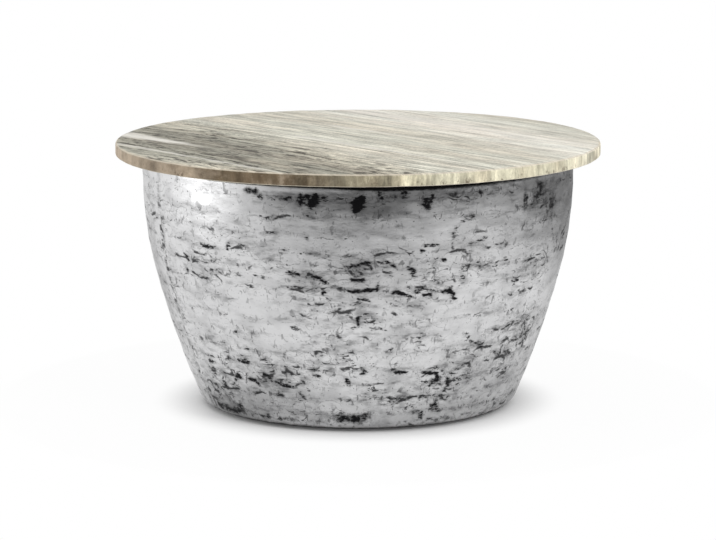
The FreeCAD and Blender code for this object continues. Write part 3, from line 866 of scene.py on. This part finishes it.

# Bold marks on the side that faces front: half thickness in millimetres, strength, and the
# points that the mark runs through, in degrees from the middle and millimetres below the rim.
STAIN_STROKES = [
    (4, 1, (-14.5, 19), (-14.5, 34)), (6, 1.2, (-10.5, 20), (-11, 26), (-12, 34)),
    (2.4, 1, (-14, 22), (-11.5, 20)), (2.7, 0.9, (-9, 21), (-8, 21)),
    (6.5, 1.45, (1, 23), (0, 32), (-0.5, 40)), (3.3, 1, (5, 14), (6, 23)),
    (4, 0.95, (-59, 389), (-53, 392), (-48, 394)), (2.6, 0.85, (-62, 378), (-57, 381)),
    (2.7, 1.1, (11, 17), (12.5, 15)), (6, 1, (17, 26), (18, 38)), (3.3, 1, (19, 19), (19, 30)),
    (2.3, 0.9, (-3, 128), (-0.5, 125), (1.5, 120)), (3.9, 0.95, (1, 120), (3, 122)),
    (2.3, 0.8, (3, 122), (3.5, 131)), (2.2, 0.8, (4.5, 120), (7.5, 119), (9, 124), (10, 130)),
    (2.4, 1, (-2, 147), (2, 147)), (2.1, 0.7, (-1, 139), (0, 145)),
    (2.7, 1, (-2.5, 164), (0, 166), (2.5, 163), (5, 163)), (2.3, 0.8, (5, 152), (5, 163)),
    (2.1, 0.7, (-0.5, 177), (2, 179), (3.5, 184)),
    (2.4, 0.95, (9, 170), (10, 167), (12, 171), (14.5, 176)),
    (3.9, 0.85, (13, 128), (14, 133), (15, 143)), (2.7, 0.85, (16, 103), (17, 104)),
    (2.3, 0.8, (17, 96), (18.5, 95), (21, 96)), (2.3, 0.85, (22, 118), (23.5, 122)),
    (3.5, 0.9, (15, 170), (17, 164)), (2.1, 0.75, (17, 164), (20, 168), (22.5, 168)),
    (2.7, 1, (17.5, 174), (20, 175)), (3.4, 1, (23, 172), (25, 169), (27, 184)),
    (3.5, 0.9, (-18.5, 139), (-15.5, 140)),
    (2.7, 0.95, (-12, 142), (-10.5, 145), (-9, 149), (-8, 154)),
    (2.1, 0.7, (-19, 161), (-16.5, 160), (-14, 161)), (2.3, 0.85, (-10, 172), (-8, 165)),
    (2.3, 0.7, (-19.5, 103), (-18, 104)), (2.1, 0.6, (-13.5, 74), (-13, 86)),
    (2.5, 0.6, (25, 103), (25, 81), (26.5, 66)), (4.7, 0.6, (27.5, 61), (29.5, 57), (31, 58)),
    (2.3, 0.75, (29.5, 99), (33, 95), (35, 91)), (4.5, 0.55, (33, 130), (34, 140)),
    (2.3, 0.85, (46, 168), (49, 168)), (3.1, 0.85, (-53, 130), (-51, 139)),
    (2.7, 0.9, (-45.5, 108), (-44, 111), (-41, 110)),
    (2.1, 0.6, (-43.5, 116), (-41.5, 129), (-41.5, 138)), (3.1, 0.9, (-42.5, 145), (-42.5, 149)),
    (3.1, 0.9, (-53.5, 154), (-52.5, 155)), (2.5, 0.9, (-35.5, 100), (-36, 110)),
    (2.3, 0.75, (-51, 155), (-48, 161), (-44, 163)), (3.9, 0.85, (-54, 309), (-52, 309)),
    (4.3, 0.85, (-39, 295), (-36.5, 297), (-35, 297)), (3.4, 0.95, (-43, 333), (-41, 323), (-40, 327)),
    (2.7, 0.95, (-37, 327), (-35, 327), (-33, 336)), (2.7, 0.85, (-31, 313), (-29, 318), (-28, 325)),
    (2.3, 0.7, (-32, 329), (-30, 326)), (2.7, 0.9, (-26.5, 326), (-24, 331), (-20, 333)),
    (2.1, 0.7, (-19, 342), (-17, 354)), (3.1, 0.8, (-49, 341), (-49, 351)),
    (2.7, 0.75, (-58, 355), (-57, 363), (-55, 364)), (2.7, 0.85, (-19, 228), (-16.5, 232)),
    (2, 0.6, (-16.5, 202), (-13, 212)), (2.3, 0.75, (-14, 308), (-12, 309), (-11.5, 315)),
    (2.3, 0.85, (-18, 320), (-17, 323)), (3.1, 0.85, (-44, 379), (-45, 392)),
    (2.1, 0.8, (-2, 228), (0, 222), (0, 212), (0, 206)), (2.1, 0.65, (3.5, 226), (6, 226), (8, 230)),
    (2.7, 0.95, (11, 302), (13, 304), (15, 303)), (3.1, 1, (20, 305), (22, 309), (25, 309)),
    (2.7, 0.9, (27, 303), (27, 309)), (2.3, 0.8, (28.5, 310), (31.5, 313)),
    (3.5, 1, (25, 313), (26, 324)), (2.3, 0.85, (25, 320), (23, 333)),
    (3.5, 0.9, (29, 320), (30, 333)), (2.7, 0.9, (1, 294), (2, 301), (1, 307)),
    (3.1, 0.85, (-3.5, 314), (-3, 324)), (2.7, 0.8, (12, 351), (14.5, 353)),
    (2.7, 0.7, (10, 345), (11.5, 363)), (4.5, 0.85, (25, 366), (27.5, 370)),
    (2.7, 0.8, (25, 374), (29, 379)), (3.5, 0.95, (22, 378), (22, 389)),
    (2.3, 0.85, (37, 264), (38.5, 264)), (2.3, 0.7, (38, 270), (40, 273), (40.5, 280)),
    (2.7, 0.65, (45.5, 285), (48.5, 297), (49, 277)), (2.3, 0.85, (50, 367), (51.5, 365)),
    (3.9, 0.75, (-26, 20), (-25, 27)), (3.1, 0.8, (-20, 27), (-17, 24)),
    (2.3, 0.6, (-14, 45), (-12.5, 51)), (2.8, 0.44, (60.5, 36), (62, 91), (66, 130)),
    (2.3, 0.6, (66.5, 107), (68, 130)), (4.5, 0.6, (47.5, 248), (51, 241), (54.5, 244)),
    (2.3, 0.7, (54.5, 233), (58, 234)), (2.3, 0.65, (57.5, 245), (60, 263)),
    (2.3, 0.7, (53, 273), (56.5, 275), (58, 291)), (3.7, 0.55, (51, 291), (55, 298)),
    (2.3, 0.85, (41.5, 127), (43, 130)), (2.1, 0.55, (53, 144), (57.5, 141), (64, 144)),
    (2.1, 0.55, (-28.5, 146), (-26, 149), (-23, 149)), (2.1, 0.55, (-36, 144), (-32, 149)),
    (2.3, 0.6, (9, 200), (11, 208)), (2.1, 0.6, (26, 269), (27.5, 272), (27.5, 283)),
    (2.1, 0.65, (34, 257), (36, 262)), (2.3, 0.6, (-5, 270), (-3.5, 281)),
    (2.1, 0.6, (-43.5, 285), (-42, 278)), (3.1, 0.6, (-47, 357), (-47, 368)),
]

# The strongest that one spot may be round the rest of the shell.
FAR_SIDE_MOST = {"mark_crowd": 0.9, "stain_blot": 0.9, "stain_and_shade_cloud": 0.3}


def far_side_spots(name):
    """More spots of the same kind round the rest of the shell, stain and painted shade alike, drawn from a
    fixed seed.
    """
    spots = STAIN_AND_SHADE_SPOTS[name]
    draw = np.random.default_rng(len(spots))
    more = []
    for at in np.linspace(80, 266, 2 * len(spots)):
        _, below, half_turn, half_height, strength = spots[draw.integers(len(spots))]
        shift, rise = draw.uniform(-8, 8), draw.uniform(-12, 12)
        strength = min(strength, FAR_SIDE_MOST[name])
        more.append((at + shift, max(12, min(388, below + rise)), half_turn, half_height, strength))
    return more


def far_side_strokes():
    """Bold marks like the front's round the rest of the shell, drawn from a fixed seed."""
    draw = np.random.default_rng(len(STAIN_STROKES))
    more = []
    for at in np.linspace(72, 264, 2 * len(STAIN_STROKES)):
        half_width, strength, *points = STAIN_STROKES[draw.integers(len(STAIN_STROKES))]
        flip, shift, rise = draw.choice((-1, 1)), draw.uniform(-6, 6), draw.uniform(-20, 20)
        start = points[0][0]
        moved = [(at + shift + flip * (turn - start), below + rise) for turn, below in points]
        more.append((half_width, strength, *moved))
    return more


def half_turn_each_way(degrees):
    """An angle brought between -180 and 180 degrees."""
    return (degrees + 180.0) % 360.0 - 180.0


def hump(value, middle, half_width):
    """A smooth hump: 1 at the middle and about a third at the half width."""
    return np.exp(-(((value - middle) / half_width) ** 2))


def fade(value, start, stretch):
    """A straight rise from 0 at the start to 1 at the stretch's end."""
    return np.clip((value - start) / stretch, 0, 1)


def stroke_gap(from_front, down, from_axis, points):
    """How far each vertex lies from a stroke along the wall, more so towards its thinner ends."""
    first = points[0][0]
    aside = half_turn_each_way(first - from_front)
    ways = [np.stack((np.radians(aside + at - first) * from_axis, below - down)) for at, below in points]
    gaps = []
    for passed, (start, end) in enumerate(zip(ways, ways[1:])):
        run = end - start
        part = np.clip(-(start * run).sum(axis=0) / (run**2).sum(axis=0), 0, 1)
        taper = 0.6 + 0.4 * np.sin(math.pi * (passed + part) / (len(ways) - 1))
        gaps.append(np.hypot(*(start + part * run)) / taper)
    return np.minimum.reduce(gaps)


def arc_points(centre, radius, start, end, step):
    """Points on an arc of the section from one angle to another, without its first one."""
    count = max(2, round(abs(end - start) * radius / step))
    angles = [start + (end - start) * (i + 1) / count for i in range(count)]
    return [(centre[0] + radius * math.cos(a), centre[1] + radius * math.sin(a)) for a in angles]


def line_points(start, end, step):
    """Points on a straight stretch of the section, without its first one."""
    count = max(1, round(math.dist(start, end) / step))
    return [tuple(s + (e - s) * (i + 1) / count for s, e in zip(start, end)) for i in range(count)]


def shell_side(settings, inset, step):
    """One side of the shell's section, from the rim lip's edge to the foot lip's edge."""
    rim = SHELL_HIGH.x
    top = SHELL_HIGH.z
    lean = settings.wall_turn + settings.foot_turn
    collar_end = top - settings.collar
    upper = (rim - settings.wall_radius, collar_end)
    drop = collar_end - settings.wall_radius * math.sin(settings.wall_turn)
    drop -= SHELL_LOW.z + settings.corner * (1 - math.sin(lean))
    lower_radius = drop / (math.sin(lean) - math.sin(settings.wall_turn))
    change = settings.wall_radius - lower_radius
    lower = (
        upper[0] + change * math.cos(settings.wall_turn),
        upper[1] - change * math.sin(settings.wall_turn),
    )
    flat = lower[0] + (lower_radius - settings.corner) * math.cos(lean)
    bend = (rim - settings.bend, top - settings.bend)
    corner = (flat, SHELL_LOW.z + settings.corner)
    points = [(rim - settings.lip, top - inset)]
    points += line_points(points[-1], (bend[0], top - inset), 0.008)
    points += arc_points(bend, settings.bend - inset, math.pi / 2, 0, 0.0018)
    points += line_points(points[-1], (rim - inset, collar_end), step)
    points += arc_points(upper, settings.wall_radius - inset, 0, -settings.wall_turn, step)
    points += arc_points(lower, lower_radius - inset, -settings.wall_turn, -lean, step)
    points += arc_points(corner, settings.corner - inset, -lean, -math.pi / 2, step)
    points += line_points(points[-1], (flat - settings.foot_lip, SHELL_LOW.z + inset), 0.012)
    return points


def dent_modifier(shell, settings):
    """Nodes that press the hammer blows and the seam's groove into both sides of the shell's wall."""
    tree = bpy.data.node_groups.new("hammer_blows", "GeometryNodeTree")
    tree.interface.new_socket(name="Geometry", in_out="INPUT", socket_type="NodeSocketGeometry")
    tree.interface.new_socket(name="Geometry", in_out="OUTPUT", socket_type="NodeSocketGeometry")
    graph = Graph(tree)
    kind = "GeometryNodeInputNamedAttribute"
    unrolled = graph.add(kind, {"Name": "unrolled_point"}, data_type="FLOAT_VECTOR").outputs[0]
    weight = graph.add(kind, {"Name": "dent_weight"}, data_type="FLOAT").outputs[0]
    around = graph.split(unrolled)[0]
    middle, chance, _ = blow_points(graph, blow_cells(graph, unrolled, settings))
    bowl = graph.math("SUBTRACT", 1.0, graph.math("POWER", graph.product(middle, 1.35), 2.0), clamp=True)
    force = graph.step(graph.split(chance)[2], 0.0, 1.0, 0.45, 1.0)
    groove = graph.step(way_from_seam(graph, around, settings), 0.0, 0.006, 0.8, 0.0)
    depth = graph.product(graph.most(graph.product(bowl, force), groove), weight, -settings.dent)
    normal = graph.add("GeometryNodeInputNormal").outputs["Normal"]
    offset = graph.add("ShaderNodeVectorMath", {0: normal, "Scale": depth}, operation="SCALE").outputs[0]
    source = graph.add("NodeGroupInput")
    moved = graph.add("GeometryNodeSetPosition", {"Geometry": source.outputs[0], "Offset": offset})
    graph.add("NodeGroupOutput", {0: moved.outputs[0]})
    shell.modifiers.new("hammer", "NODES").node_group = tree


class TABLE_OT_hammered_base(bpy.types.Operator):
    """Turn the base shell from its section and hammer its wall"""

    bl_idname = "table.hammered_base"
    bl_label = "Hammered Base"

    def execute(self, context):
        settings = context.scene.table_base
        outer = shell_side(settings, 0.0, settings.row_step)
        inner = shell_side(settings, settings.sheet, settings.inner_row_step)
        section = outer + inner[::-1]
        bpy.ops.object.select_all(action="DESELECT")
        bpy.ops.mesh.primitive_circle_add(vertices=len(section), radius=SHELL_HIGH.x, fill_type="NOTHING")
        shell = new_piece("hammered_shell")
        self.lay_section(shell, section, len(outer), settings)
        edit_all()
        bpy.ops.mesh.spin(
            steps=settings.segments, angle=2 * math.pi, center=(0, 0, 0), axis=(0, 0, 1), use_auto_merge=True
        )
        close_and_turn_out()
        bpy.ops.object.mode_set(mode="OBJECT")
        self.unroll(shell, settings)
        dent_modifier(shell, settings)
        apply_modifiers(shell)
        smooth(shell, 40)
        dress(shell, hammered_finish(settings))
        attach(shell, "base")
        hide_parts("base_shell")
        return {"FINISHED"}

    def lay_section(self, shell, section, outer_count, settings):
        """Move the ring of vertices onto the sheet's section and note each one's way down the wall."""
        places = np.array([(r, 0.0, z) for r, z in section], np.float32)
        move_vertices(shell, places)
        steps = np.hypot(*np.diff(np.array(section), axis=0).T)
        down = np.concatenate(([0.0], np.cumsum(steps)))
        lip_end = settings.lip - settings.bend
        foot_start = down[outer_count - 1] - settings.foot_lip
        down[outer_count:] = 2 * down[outer_count - 1] - down[outer_count:]
        down -= lip_end
        foot_fade = fade(foot_start - lip_end - down, 0.0, FOOT_FADE)
        weight = fade(down, 0.0, RIM_FADE) * foot_fade
        bare = np.arange(len(section)) >= outer_count
        weight[bare] = -(fade(down, MOUTH_DEPTH, RIM_FADE) * foot_fade)[bare]
        for name, values in (("wall_down", down), ("dent_weight", weight), ("bare_inside", bare)):
            store(shell, name, values)

    def unroll(self, shell, settings):
        """Lay the pattern's map: the way round from the seam, and the way down from the rim."""
        mesh = shell.data
        places = vertex_places(shell)
        turn = (np.arctan2(places[:, 1], places[:, 0]) - settings.seam_angle) % (2 * math.pi)
        turn[turn > 2 * math.pi - 1e-5] = 0.0
        down = np.empty(len(places), np.float32)
        mesh.attributes["wall_down"].data.foreach_get("value", down)
        point = np.column_stack((turn * settings.unrolled_radius, down, np.zeros_like(down)))
        layer = mesh.attributes.new("unrolled_point", "FLOAT_VECTOR", "POINT")
        layer.data.foreach_set("vector", point.astype(np.float32).ravel())
        self.paint(shell, np.degrees(turn) + math.degrees(settings.seam_angle) + 90.0, down)
        corners = np.empty(len(mesh.loops), np.int32)
        mesh.loops.foreach_get("vertex_index", corners)
        corner_turn = turn[corners].reshape(-1, 4)
        past_seam = corner_turn.max(axis=1) - corner_turn.min(axis=1) > math.pi
        low = corner_turn < math.pi
        corner_turn[past_seam[:, None] & low] += 2 * math.pi
        flat = np.column_stack((corner_turn.ravel() * settings.unrolled_radius, down[corners]))
        mesh.uv_layers.new(name="unrolled").data.foreach_set("uv", flat.astype(np.float32).ravel())

    def paint(self, shell, from_front, down):
        """Paint the broad lie of the stain and of the painted shade: where marks crowd, where it is black,
        and where it is thin or shaded.
        """
        places = vertex_places(shell)
        from_axis = np.hypot(places[:, 0], places[:, 1])
        # Painted shade under the rim's bend and on the foot's underside.
        store(shell, "painted_shade_ring", self.painted_shade_rings(from_front, down, places[:, 2], from_axis))
        down_mm = 1000 * down
        bold = np.zeros_like(down)
        for half_width, strength, *points in STAIN_STROKES + far_side_strokes():
            gap = stroke_gap(from_front, down_mm, 1000 * from_axis, points)
            bold = np.maximum(bold, strength * hump(gap, 0.0, 1.6 * half_width))
        store(shell, "stain_stroke", bold)
        for name, spots in STAIN_AND_SHADE_SPOTS.items():
            weight = np.zeros_like(down)
            for at, below, half_turn, half_height, strength in spots + far_side_spots(name):
                aside = half_turn_each_way(from_front - at)
                weight += strength * hump(aside, 0.0, half_turn) * hump(down_mm, below, half_height)
            store(shell, name, np.clip(weight, -0.6, 1.2))

    def painted_shade_rings(self, from_front, down, height, from_axis):
        """Painted shade: the dark line under the rim's bend, where the slab's overhang shades the wall and
        its dark underside shows in the metal, narrower on the left, and painted contact shade on the
        underside of the foot.
        """
        aside = half_turn_each_way(from_front)
        line_end = 0.010 + 0.004 / (1 + np.exp(-(aside + 1) / 3))
        rim = fade(line_end - down, 0.0, 0.003) * (0.55 + 0.45 * hump(aside, 8, 34))
        rim *= 1 - 0.75 * hump(aside, -62, 26)
        rim *= fade(down, 0.002, 0.003)
        under = fade(PLATE_HIGH.x - from_axis, 0.0, 0.004)
        foot = 0.85 * fade(0.011 - height, 0.0, 0.006) * (1 - 0.6 * under)
        return np.maximum(rim, foot)


class TABLE_OT_locating_disc(bpy.types.Operator):
    """Finish the plywood disc and the adhesive that bonds it to the stone"""

    bl_idname = "table.locating_disc"
    bl_label = "Locating Disc"

    def execute(self, context):
        settings = context.scene.table_fittings
        thickness = DISC_HIGH.z - DISC_LOW.z
        dress(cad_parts["locating_disc"], plywood_finish(settings, thickness, DISC_HIGH.z))
        dress(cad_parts["adhesive_dabs"], soft_finish("sealant", settings.sealant, 0.5))
        return {"FINISHED"}


class TABLE_OT_inner_frame(bpy.types.Operator):
    """Finish the hoop, the cross bars, the base plate and its rivets"""

    bl_idname = "table.inner_frame"
    bl_label = "Inner Frame"

    def execute(self, context):
        rgb = context.scene.table_fittings.aluminium
        along_x = brushed_finish("mill_lines_x", rgb, (6.0, 700.0, 700.0))
        along_y = brushed_finish("mill_lines_y", rgb, (700.0, 6.0, 700.0))
        level = brushed_finish("mill_lines_level", rgb, (9.0, 9.0, 900.0))
        finishes = {
            "cross_bar_long": along_x,
            "cross_bar_front": along_y,
            "cross_bar_back": along_y,
            "base_plate": along_x,
            "support_hoop": level,
            "plate_rivets": level,
        }
        for node, finish in finishes.items():
            dress(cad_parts[node], finish)
        return {"FINISHED"}


class TABLE_OT_bumpers(bpy.types.Operator):
    """Finish the clear bumpers on the rim and on the cross bars"""

    bl_idname = "table.bumpers"
    bl_label = "Bumpers"

    def execute(self, context):
        clear = soft_finish("clear_silicone", context.scene.table_fittings.silicone, 0.3, 0.75)
        for node in ("rim_bumpers", "cross_bumpers"):
            dress(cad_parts[node], clear)
        return {"FINISHED"}


class TABLE_OT_levellers(bpy.types.Operator):
    """Thread the studs, and finish the nuts and the pads"""

    bl_idname = "table.levellers"
    bl_label = "Levellers"

    def execute(self, context):
        fittings = context.scene.table_fittings
        zinc = brushed_finish("zinc_plate", fittings.zinc, (300.0, 300.0, 300.0), 0.36)
        nylon = soft_finish("black_nylon", fittings.nylon, 0.5)
        dress(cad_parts["leveller_nuts"], zinc)
        pattern = self.threaded_stud(context.scene.table_levellers)
        dress(pattern, zinc)
        for number in LEVELLERS:
            dress(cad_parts[f"leveller_{number}_pad"], nylon)
            stud = copy_piece(pattern, f"leveller_{number}_threaded_stud", leveller_place(number))
            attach(stud, f"leveller_{number}_screw")
            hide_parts(f"leveller_{number}_stud")
        bpy.data.objects.remove(pattern)
        return {"FINISHED"}

    def threaded_stud(self, settings):
        """One stud on the Z axis: a flat head, a threaded shank and a slotted tip."""
        low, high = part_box("leveller_1_stud")
        head_radius = (high.x - low.x) / 2
        bpy.ops.object.select_all(action="DESELECT")
        bpy.ops.mesh.primitive_circle_add(
            vertices=THREAD_SIDES, radius=head_radius, fill_type="NGON", location=(0, 0, low.z)
        )
        stud = new_piece("threaded_stud")
        shank_start = low.z + settings.head
        shank_end = high.z - settings.tip
        rows = round((shank_end - shank_start) / settings.pitch * THREAD_ROWS)
        edit_all()
        extrude(0, 0, settings.head)
        bpy.ops.mesh.inset(thickness=head_radius - settings.stud_radius)
        for _ in range(rows):
            extrude(0, 0, (shank_end - shank_start) / rows)
        extrude(0, 0, settings.tip)
        narrow = 1 - settings.tip / settings.stud_radius
        bpy.ops.transform.resize(value=(narrow, narrow, 1), center_override=(0, 0, high.z))
        close_and_turn_out()
        bpy.ops.object.mode_set(mode="OBJECT")
        self.cut_thread(stud, settings, shank_start)
        self.cut_slot(stud, settings, high.z)
        smooth(stud, 30)
        return stud

    def cut_thread(self, stud, settings, start):
        """Press a right-hand thread into the shank's rows."""
        places = vertex_places(stud)
        radius = np.hypot(places[:, 0], places[:, 1])
        turn = np.arctan2(places[:, 1], places[:, 0]) / (2 * math.pi)
        shank = (np.abs(radius - settings.stud_radius) < 1e-5) & (places[:, 2] > start + 1e-6)
        phase = (places[:, 2] / settings.pitch - turn) % 1.0
        tooth = np.clip(1.5 * (1 - np.abs(2 * phase - 1)) - 0.25, 0, 1)
        narrow = 1 - np.where(shank, settings.thread_depth * (1 - tooth) / settings.stud_radius, 0)
        places[:, :2] *= narrow[:, None]
        move_vertices(stud, places)

    def cut_slot(self, stud, settings, top):
        """Cut the screwdriver slot across the tip."""
        bpy.ops.object.select_all(action="DESELECT")
        bpy.ops.mesh.primitive_cube_add(size=1, location=(0, 0, top))
        cutter = bpy.context.active_object
        cutter.scale = (4 * settings.stud_radius, settings.slot_width, 2 * settings.slot_depth)
        bpy.ops.object.transform_apply(location=True, rotation=True, scale=True)
        slot = stud.modifiers.new("slot", "BOOLEAN")
        slot.operation = "DIFFERENCE"
        slot.object = cutter
        apply_modifiers(stud)
        bpy.data.objects.remove(cutter)


class TABLE_OT_welds(bpy.types.Operator):
    """Lay weld beads at the ends of the cross bars and at the nuts"""

    bl_idname = "table.welds"
    bl_label = "Welds"

    def execute(self, context):
        settings = context.scene.table_levellers
        rgb = context.scene.table_fittings.aluminium
        darker = tuple(0.9 * part for part in rgb)
        ripples = brushed_finish("weld_ripples", darker, (420.0, 420.0, 420.0), 0.36)
        low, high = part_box("cross_bar_long")
        half_width = (high.y - low.y) / 2
        ripple = 2.2 * settings.bead
        bar_bead = self.bead("bar_bead", 1.8 * half_width, settings.bead, ripple)
        tack_bead = self.bead("tack_bead", TACK_LENGTH, settings.tack, ripple / 2)
        beads = []
        for quarter in range(4):
            turn = quarter * math.pi / 2
            outward = Vector((math.cos(turn), math.sin(turn), 0))
            place = outward * (high.x - settings.bead / 3) + Vector((0, 0, high.z))
            beads.append(copy_piece(bar_bead, f"bead_{quarter}", place, turn + math.pi / 2))
        for side in (-1, 1):
            place = Vector((0, side * (half_width + settings.bead / 3), high.z))
            beads.append(copy_piece(bar_bead, f"bead_middle_{side}", place))
        nut_low, nut_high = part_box("leveller_nuts")
        flat = nut_high.y - leveller_place(1).y
        for number in LEVELLERS:
            for third in range(3):
                turn = math.pi / 2 + third * 2 * math.pi / 3
                outward = Vector((math.cos(turn), math.sin(turn), 0))
                place = leveller_place(number) + outward * flat + Vector((0, 0, nut_low.z))
                beads.append(copy_piece(tack_bead, f"tack_{number}_{third}", place, turn + math.pi / 2))
        bpy.data.objects.remove(bar_bead)
        bpy.data.objects.remove(tack_bead)
        bpy.ops.object.select_all(action="DESELECT")
        for bead in beads:
            bead.select_set(True)
        bpy.context.view_layer.objects.active = beads[0]
        bpy.ops.object.join()
        welds = beads[0]
        welds.name = "weld_beads"
        welds.data.name = "weld_beads"
        dress(welds, ripples)
        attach(welds, "base")
        return {"FINISHED"}

    def bead(self, name, long, radius, ripple):
        """A rippled bead along X, round at both ends and closed."""
        bpy.ops.object.select_all(action="DESELECT")
        bpy.ops.mesh.primitive_circle_add(
            vertices=BEAD_SIDES,
            radius=radius,
            fill_type="NGON",
            location=(-long / 2, 0, 0),
            rotation=(0, math.pi / 2, 0),
        )
        piece = new_piece(name)
        rows = max(2 * BEAD_ROWS, round(long / ripple * BEAD_ROWS))
        edit_all()
        for _ in range(rows):
            extrude(long / rows, 0, 0)
        close_and_turn_out()
        bpy.ops.object.mode_set(mode="OBJECT")
        places = vertex_places(piece)
        from_end = np.clip(long / 2 - np.abs(places[:, 0]), 0, radius)
        dome = np.sqrt(np.clip(1 - (1 - from_end / radius) ** 2, 0.04, 1))
        swell = dome * (0.88 + 0.12 * np.cos(places[:, 0] / ripple * 2 * math.pi))
        places[:, 1:] *= swell[:, None]
        move_vertices(piece, places)
        bpy.ops.object.shade_smooth()
        return piece


def studio_level(graph, direction):
    """How bright the studio is on each side, as metal shows it: a bright left and a dim front and right."""
    sideways = graph.unit(graph.vector("MULTIPLY", direction, (1.0, 1.0, 0.0)))
    level = STUDIO_LEVEL
    for toward, start, change in STUDIO_SIDES:
        facing = graph.dot(sideways, (*toward, 0.0))
        level = graph.sum(graph.step(facing, start, 1.0, 0.0, change), level)
    return level


def studio_strength(graph, level):
    """Strength of the white studio, 1 to the camera and its level to metal, and which rays see it so."""
    path = graph.add("ShaderNodeLightPath").outputs
    shiny = graph.most(path["Is Glossy Ray"], path["Is Transmission Ray"])
    strength = graph.sum(path["Is Camera Ray"], graph.product(shiny, level))
    return strength, graph.most(shiny, path["Is Camera Ray"])


def white_world(settings):
    """White surroundings, with the studio's dim and bright sides as metal shows them."""
    world = bpy.data.worlds.new("white_surroundings")
    world.use_nodes = True
    bpy.context.scene.world = world
    graph = Graph(world.node_tree)
    level = studio_level(graph, graph.add("ShaderNodeTexCoord").outputs["Generated"])
    strength, seen = studio_strength(graph, level)
    strength = graph.sum(strength, graph.product(graph.minus(1.0, seen), settings.ambient))
    background = world.node_tree.nodes["Background"]
    background.inputs["Color"].default_value = (1, 1, 1, 1)
    graph.feed(background.inputs["Strength"], strength)


def floor_finish():
    """A white floor that still takes the table's shadow."""
    material, graph, surface = new_finish("white_floor")
    surface.inputs["Base Color"].default_value = (0.93, 0.93, 0.93, 1)
    surface.inputs["Roughness"].default_value = 0.9
    surface.inputs["Specular IOR Level"].default_value = 0.0
    place = object_place(graph)
    away = graph.add("ShaderNodeVectorMath", {0: place}, operation="LENGTH").outputs["Value"]
    far = graph.step(away, 0.7, 2.3)
    level = graph.sum(1.0, graph.product(far, graph.minus(studio_level(graph, place), 1.0)))
    strength, seen = studio_strength(graph, level)
    glow = graph.add("ShaderNodeEmission", {"Color": (1, 1, 1, 1), "Strength": strength})
    near_share = graph.step(away, 0.225, 0.33, 0.06, 0.96)
    glow_share = graph.product(seen, graph.most(near_share, graph.step(away, 0.30, 0.60)))
    mixed = graph.add("ShaderNodeMixShader", {0: glow_share, 1: surface.outputs[0], 2: glow.outputs[0]})
    output = material.node_tree.nodes["Material Output"]
    graph.feed(output.inputs["Surface"], mixed.outputs[0])
    return material


def soft_light(name, place, target, size, watts):
    """A square soft light that the camera doesn't see."""
    lamp = bpy.data.lights.new(name, "AREA")
    lamp.size = size
    lamp.energy = watts
    light = bpy.data.objects.new(name, lamp)
    bpy.context.scene.collection.objects.link(light)
    light.location = place
    light.rotation_euler = (Vector(target) - Vector(place)).to_track_quat("-Z", "Y").to_euler()
    light.visible_camera = False


class TABLE_OT_stage(bpy.types.Operator):
    """Set up the floor, the light and the camera"""

    bl_idname = "table.stage"
    bl_label = "Stage"

    def execute(self, context):
        settings = context.scene.table_stage
        context.scene.view_settings.view_transform = "Standard"
        bpy.ops.object.select_all(action="DESELECT")
        bpy.ops.mesh.primitive_plane_add(size=FLOOR_SIZE, location=(0, 0, 0))
        floor = new_piece("floor")
        dress(floor, floor_finish())
        white_world(settings)
        soft_light("key_left", (-2.8, -0.3, 0.55), (0, 0, 0.3), 1.2, settings.key_watts)
        soft_light("top", (-0.2, -0.4, 3.2), (0, 0, 0.4), 2.4, settings.top_watts)
        soft_light("front_right", (2.7, -3.0, 2.3), (0, 0, 0.4), 1.4, settings.front_watts)
        self.add_camera(context, settings)
        return {"FINISHED"}

    def add_camera(self, context, settings):
        """Put the camera in front of the table."""
        lens = bpy.data.cameras.new("camera")
        lens.sensor_width = SENSOR_WIDTH_MM
        lens.lens = settings.focal_px * SENSOR_WIDTH_MM / PHOTO_WIDTH_PX
        lens.clip_end = CAMERA_REACH
        camera = bpy.data.objects.new("camera", lens)
        context.scene.collection.objects.link(camera)
        camera.location = (0, -settings.distance, settings.height)
        camera.rotation_euler = (math.pi / 2 - settings.pitch, 0, 0)
        context.scene.camera = camera


PIECE_OPERATORS = (
    TABLE_OT_stone_top,
    TABLE_OT_hammered_base,
    TABLE_OT_locating_disc,
    TABLE_OT_inner_frame,
    TABLE_OT_bumpers,
    TABLE_OT_levellers,
    TABLE_OT_welds,
    TABLE_OT_stage,
)

SETTINGS = {
    "table_stone": StoneSettings,
    "table_base": BaseSettings,
    "table_fittings": FittingSettings,
    "table_levellers": LevellerSettings,
    "table_stage": StageSettings,
}


class TABLE_PT_pieces(bpy.types.Panel):
    """Buttons for the table's pieces and their settings"""

    bl_idname = "TABLE_PT_pieces"
    bl_label = "Cocktail Table"
    bl_space_type = "VIEW_3D"
    bl_region_type = "UI"
    bl_category = "Table"

    def draw(self, context):
        for operator in PIECE_OPERATORS:
            self.layout.operator(operator.bl_idname)
        for name, group in SETTINGS.items():
            box = self.layout.box()
            box.label(text=group.__doc__)
            for key in group.__annotations__:
                box.prop(getattr(context.scene, name), key)


def register():
    for cls in (*SETTINGS.values(), *PIECE_OPERATORS, TABLE_PT_pieces):
        bpy.utils.register_class(cls)
    for name, group in SETTINGS.items():
        setattr(bpy.types.Scene, name, bpy.props.PointerProperty(type=group))


def unregister():
    for name in SETTINGS:
        delattr(bpy.types.Scene, name)
    for cls in (TABLE_PT_pieces, *reversed(PIECE_OPERATORS), *reversed(SETTINGS.values())):
        bpy.utils.unregister_class(cls)


def main():
    register()
    bpy.ops.table.stone_top()
    bpy.ops.table.hammered_base()
    bpy.ops.table.locating_disc()
    bpy.ops.table.inner_frame()
    bpy.ops.table.bumpers()
    bpy.ops.table.levellers()
    bpy.ops.table.welds()
    bpy.ops.table.stage()


if __name__ == "__main__":
    main()
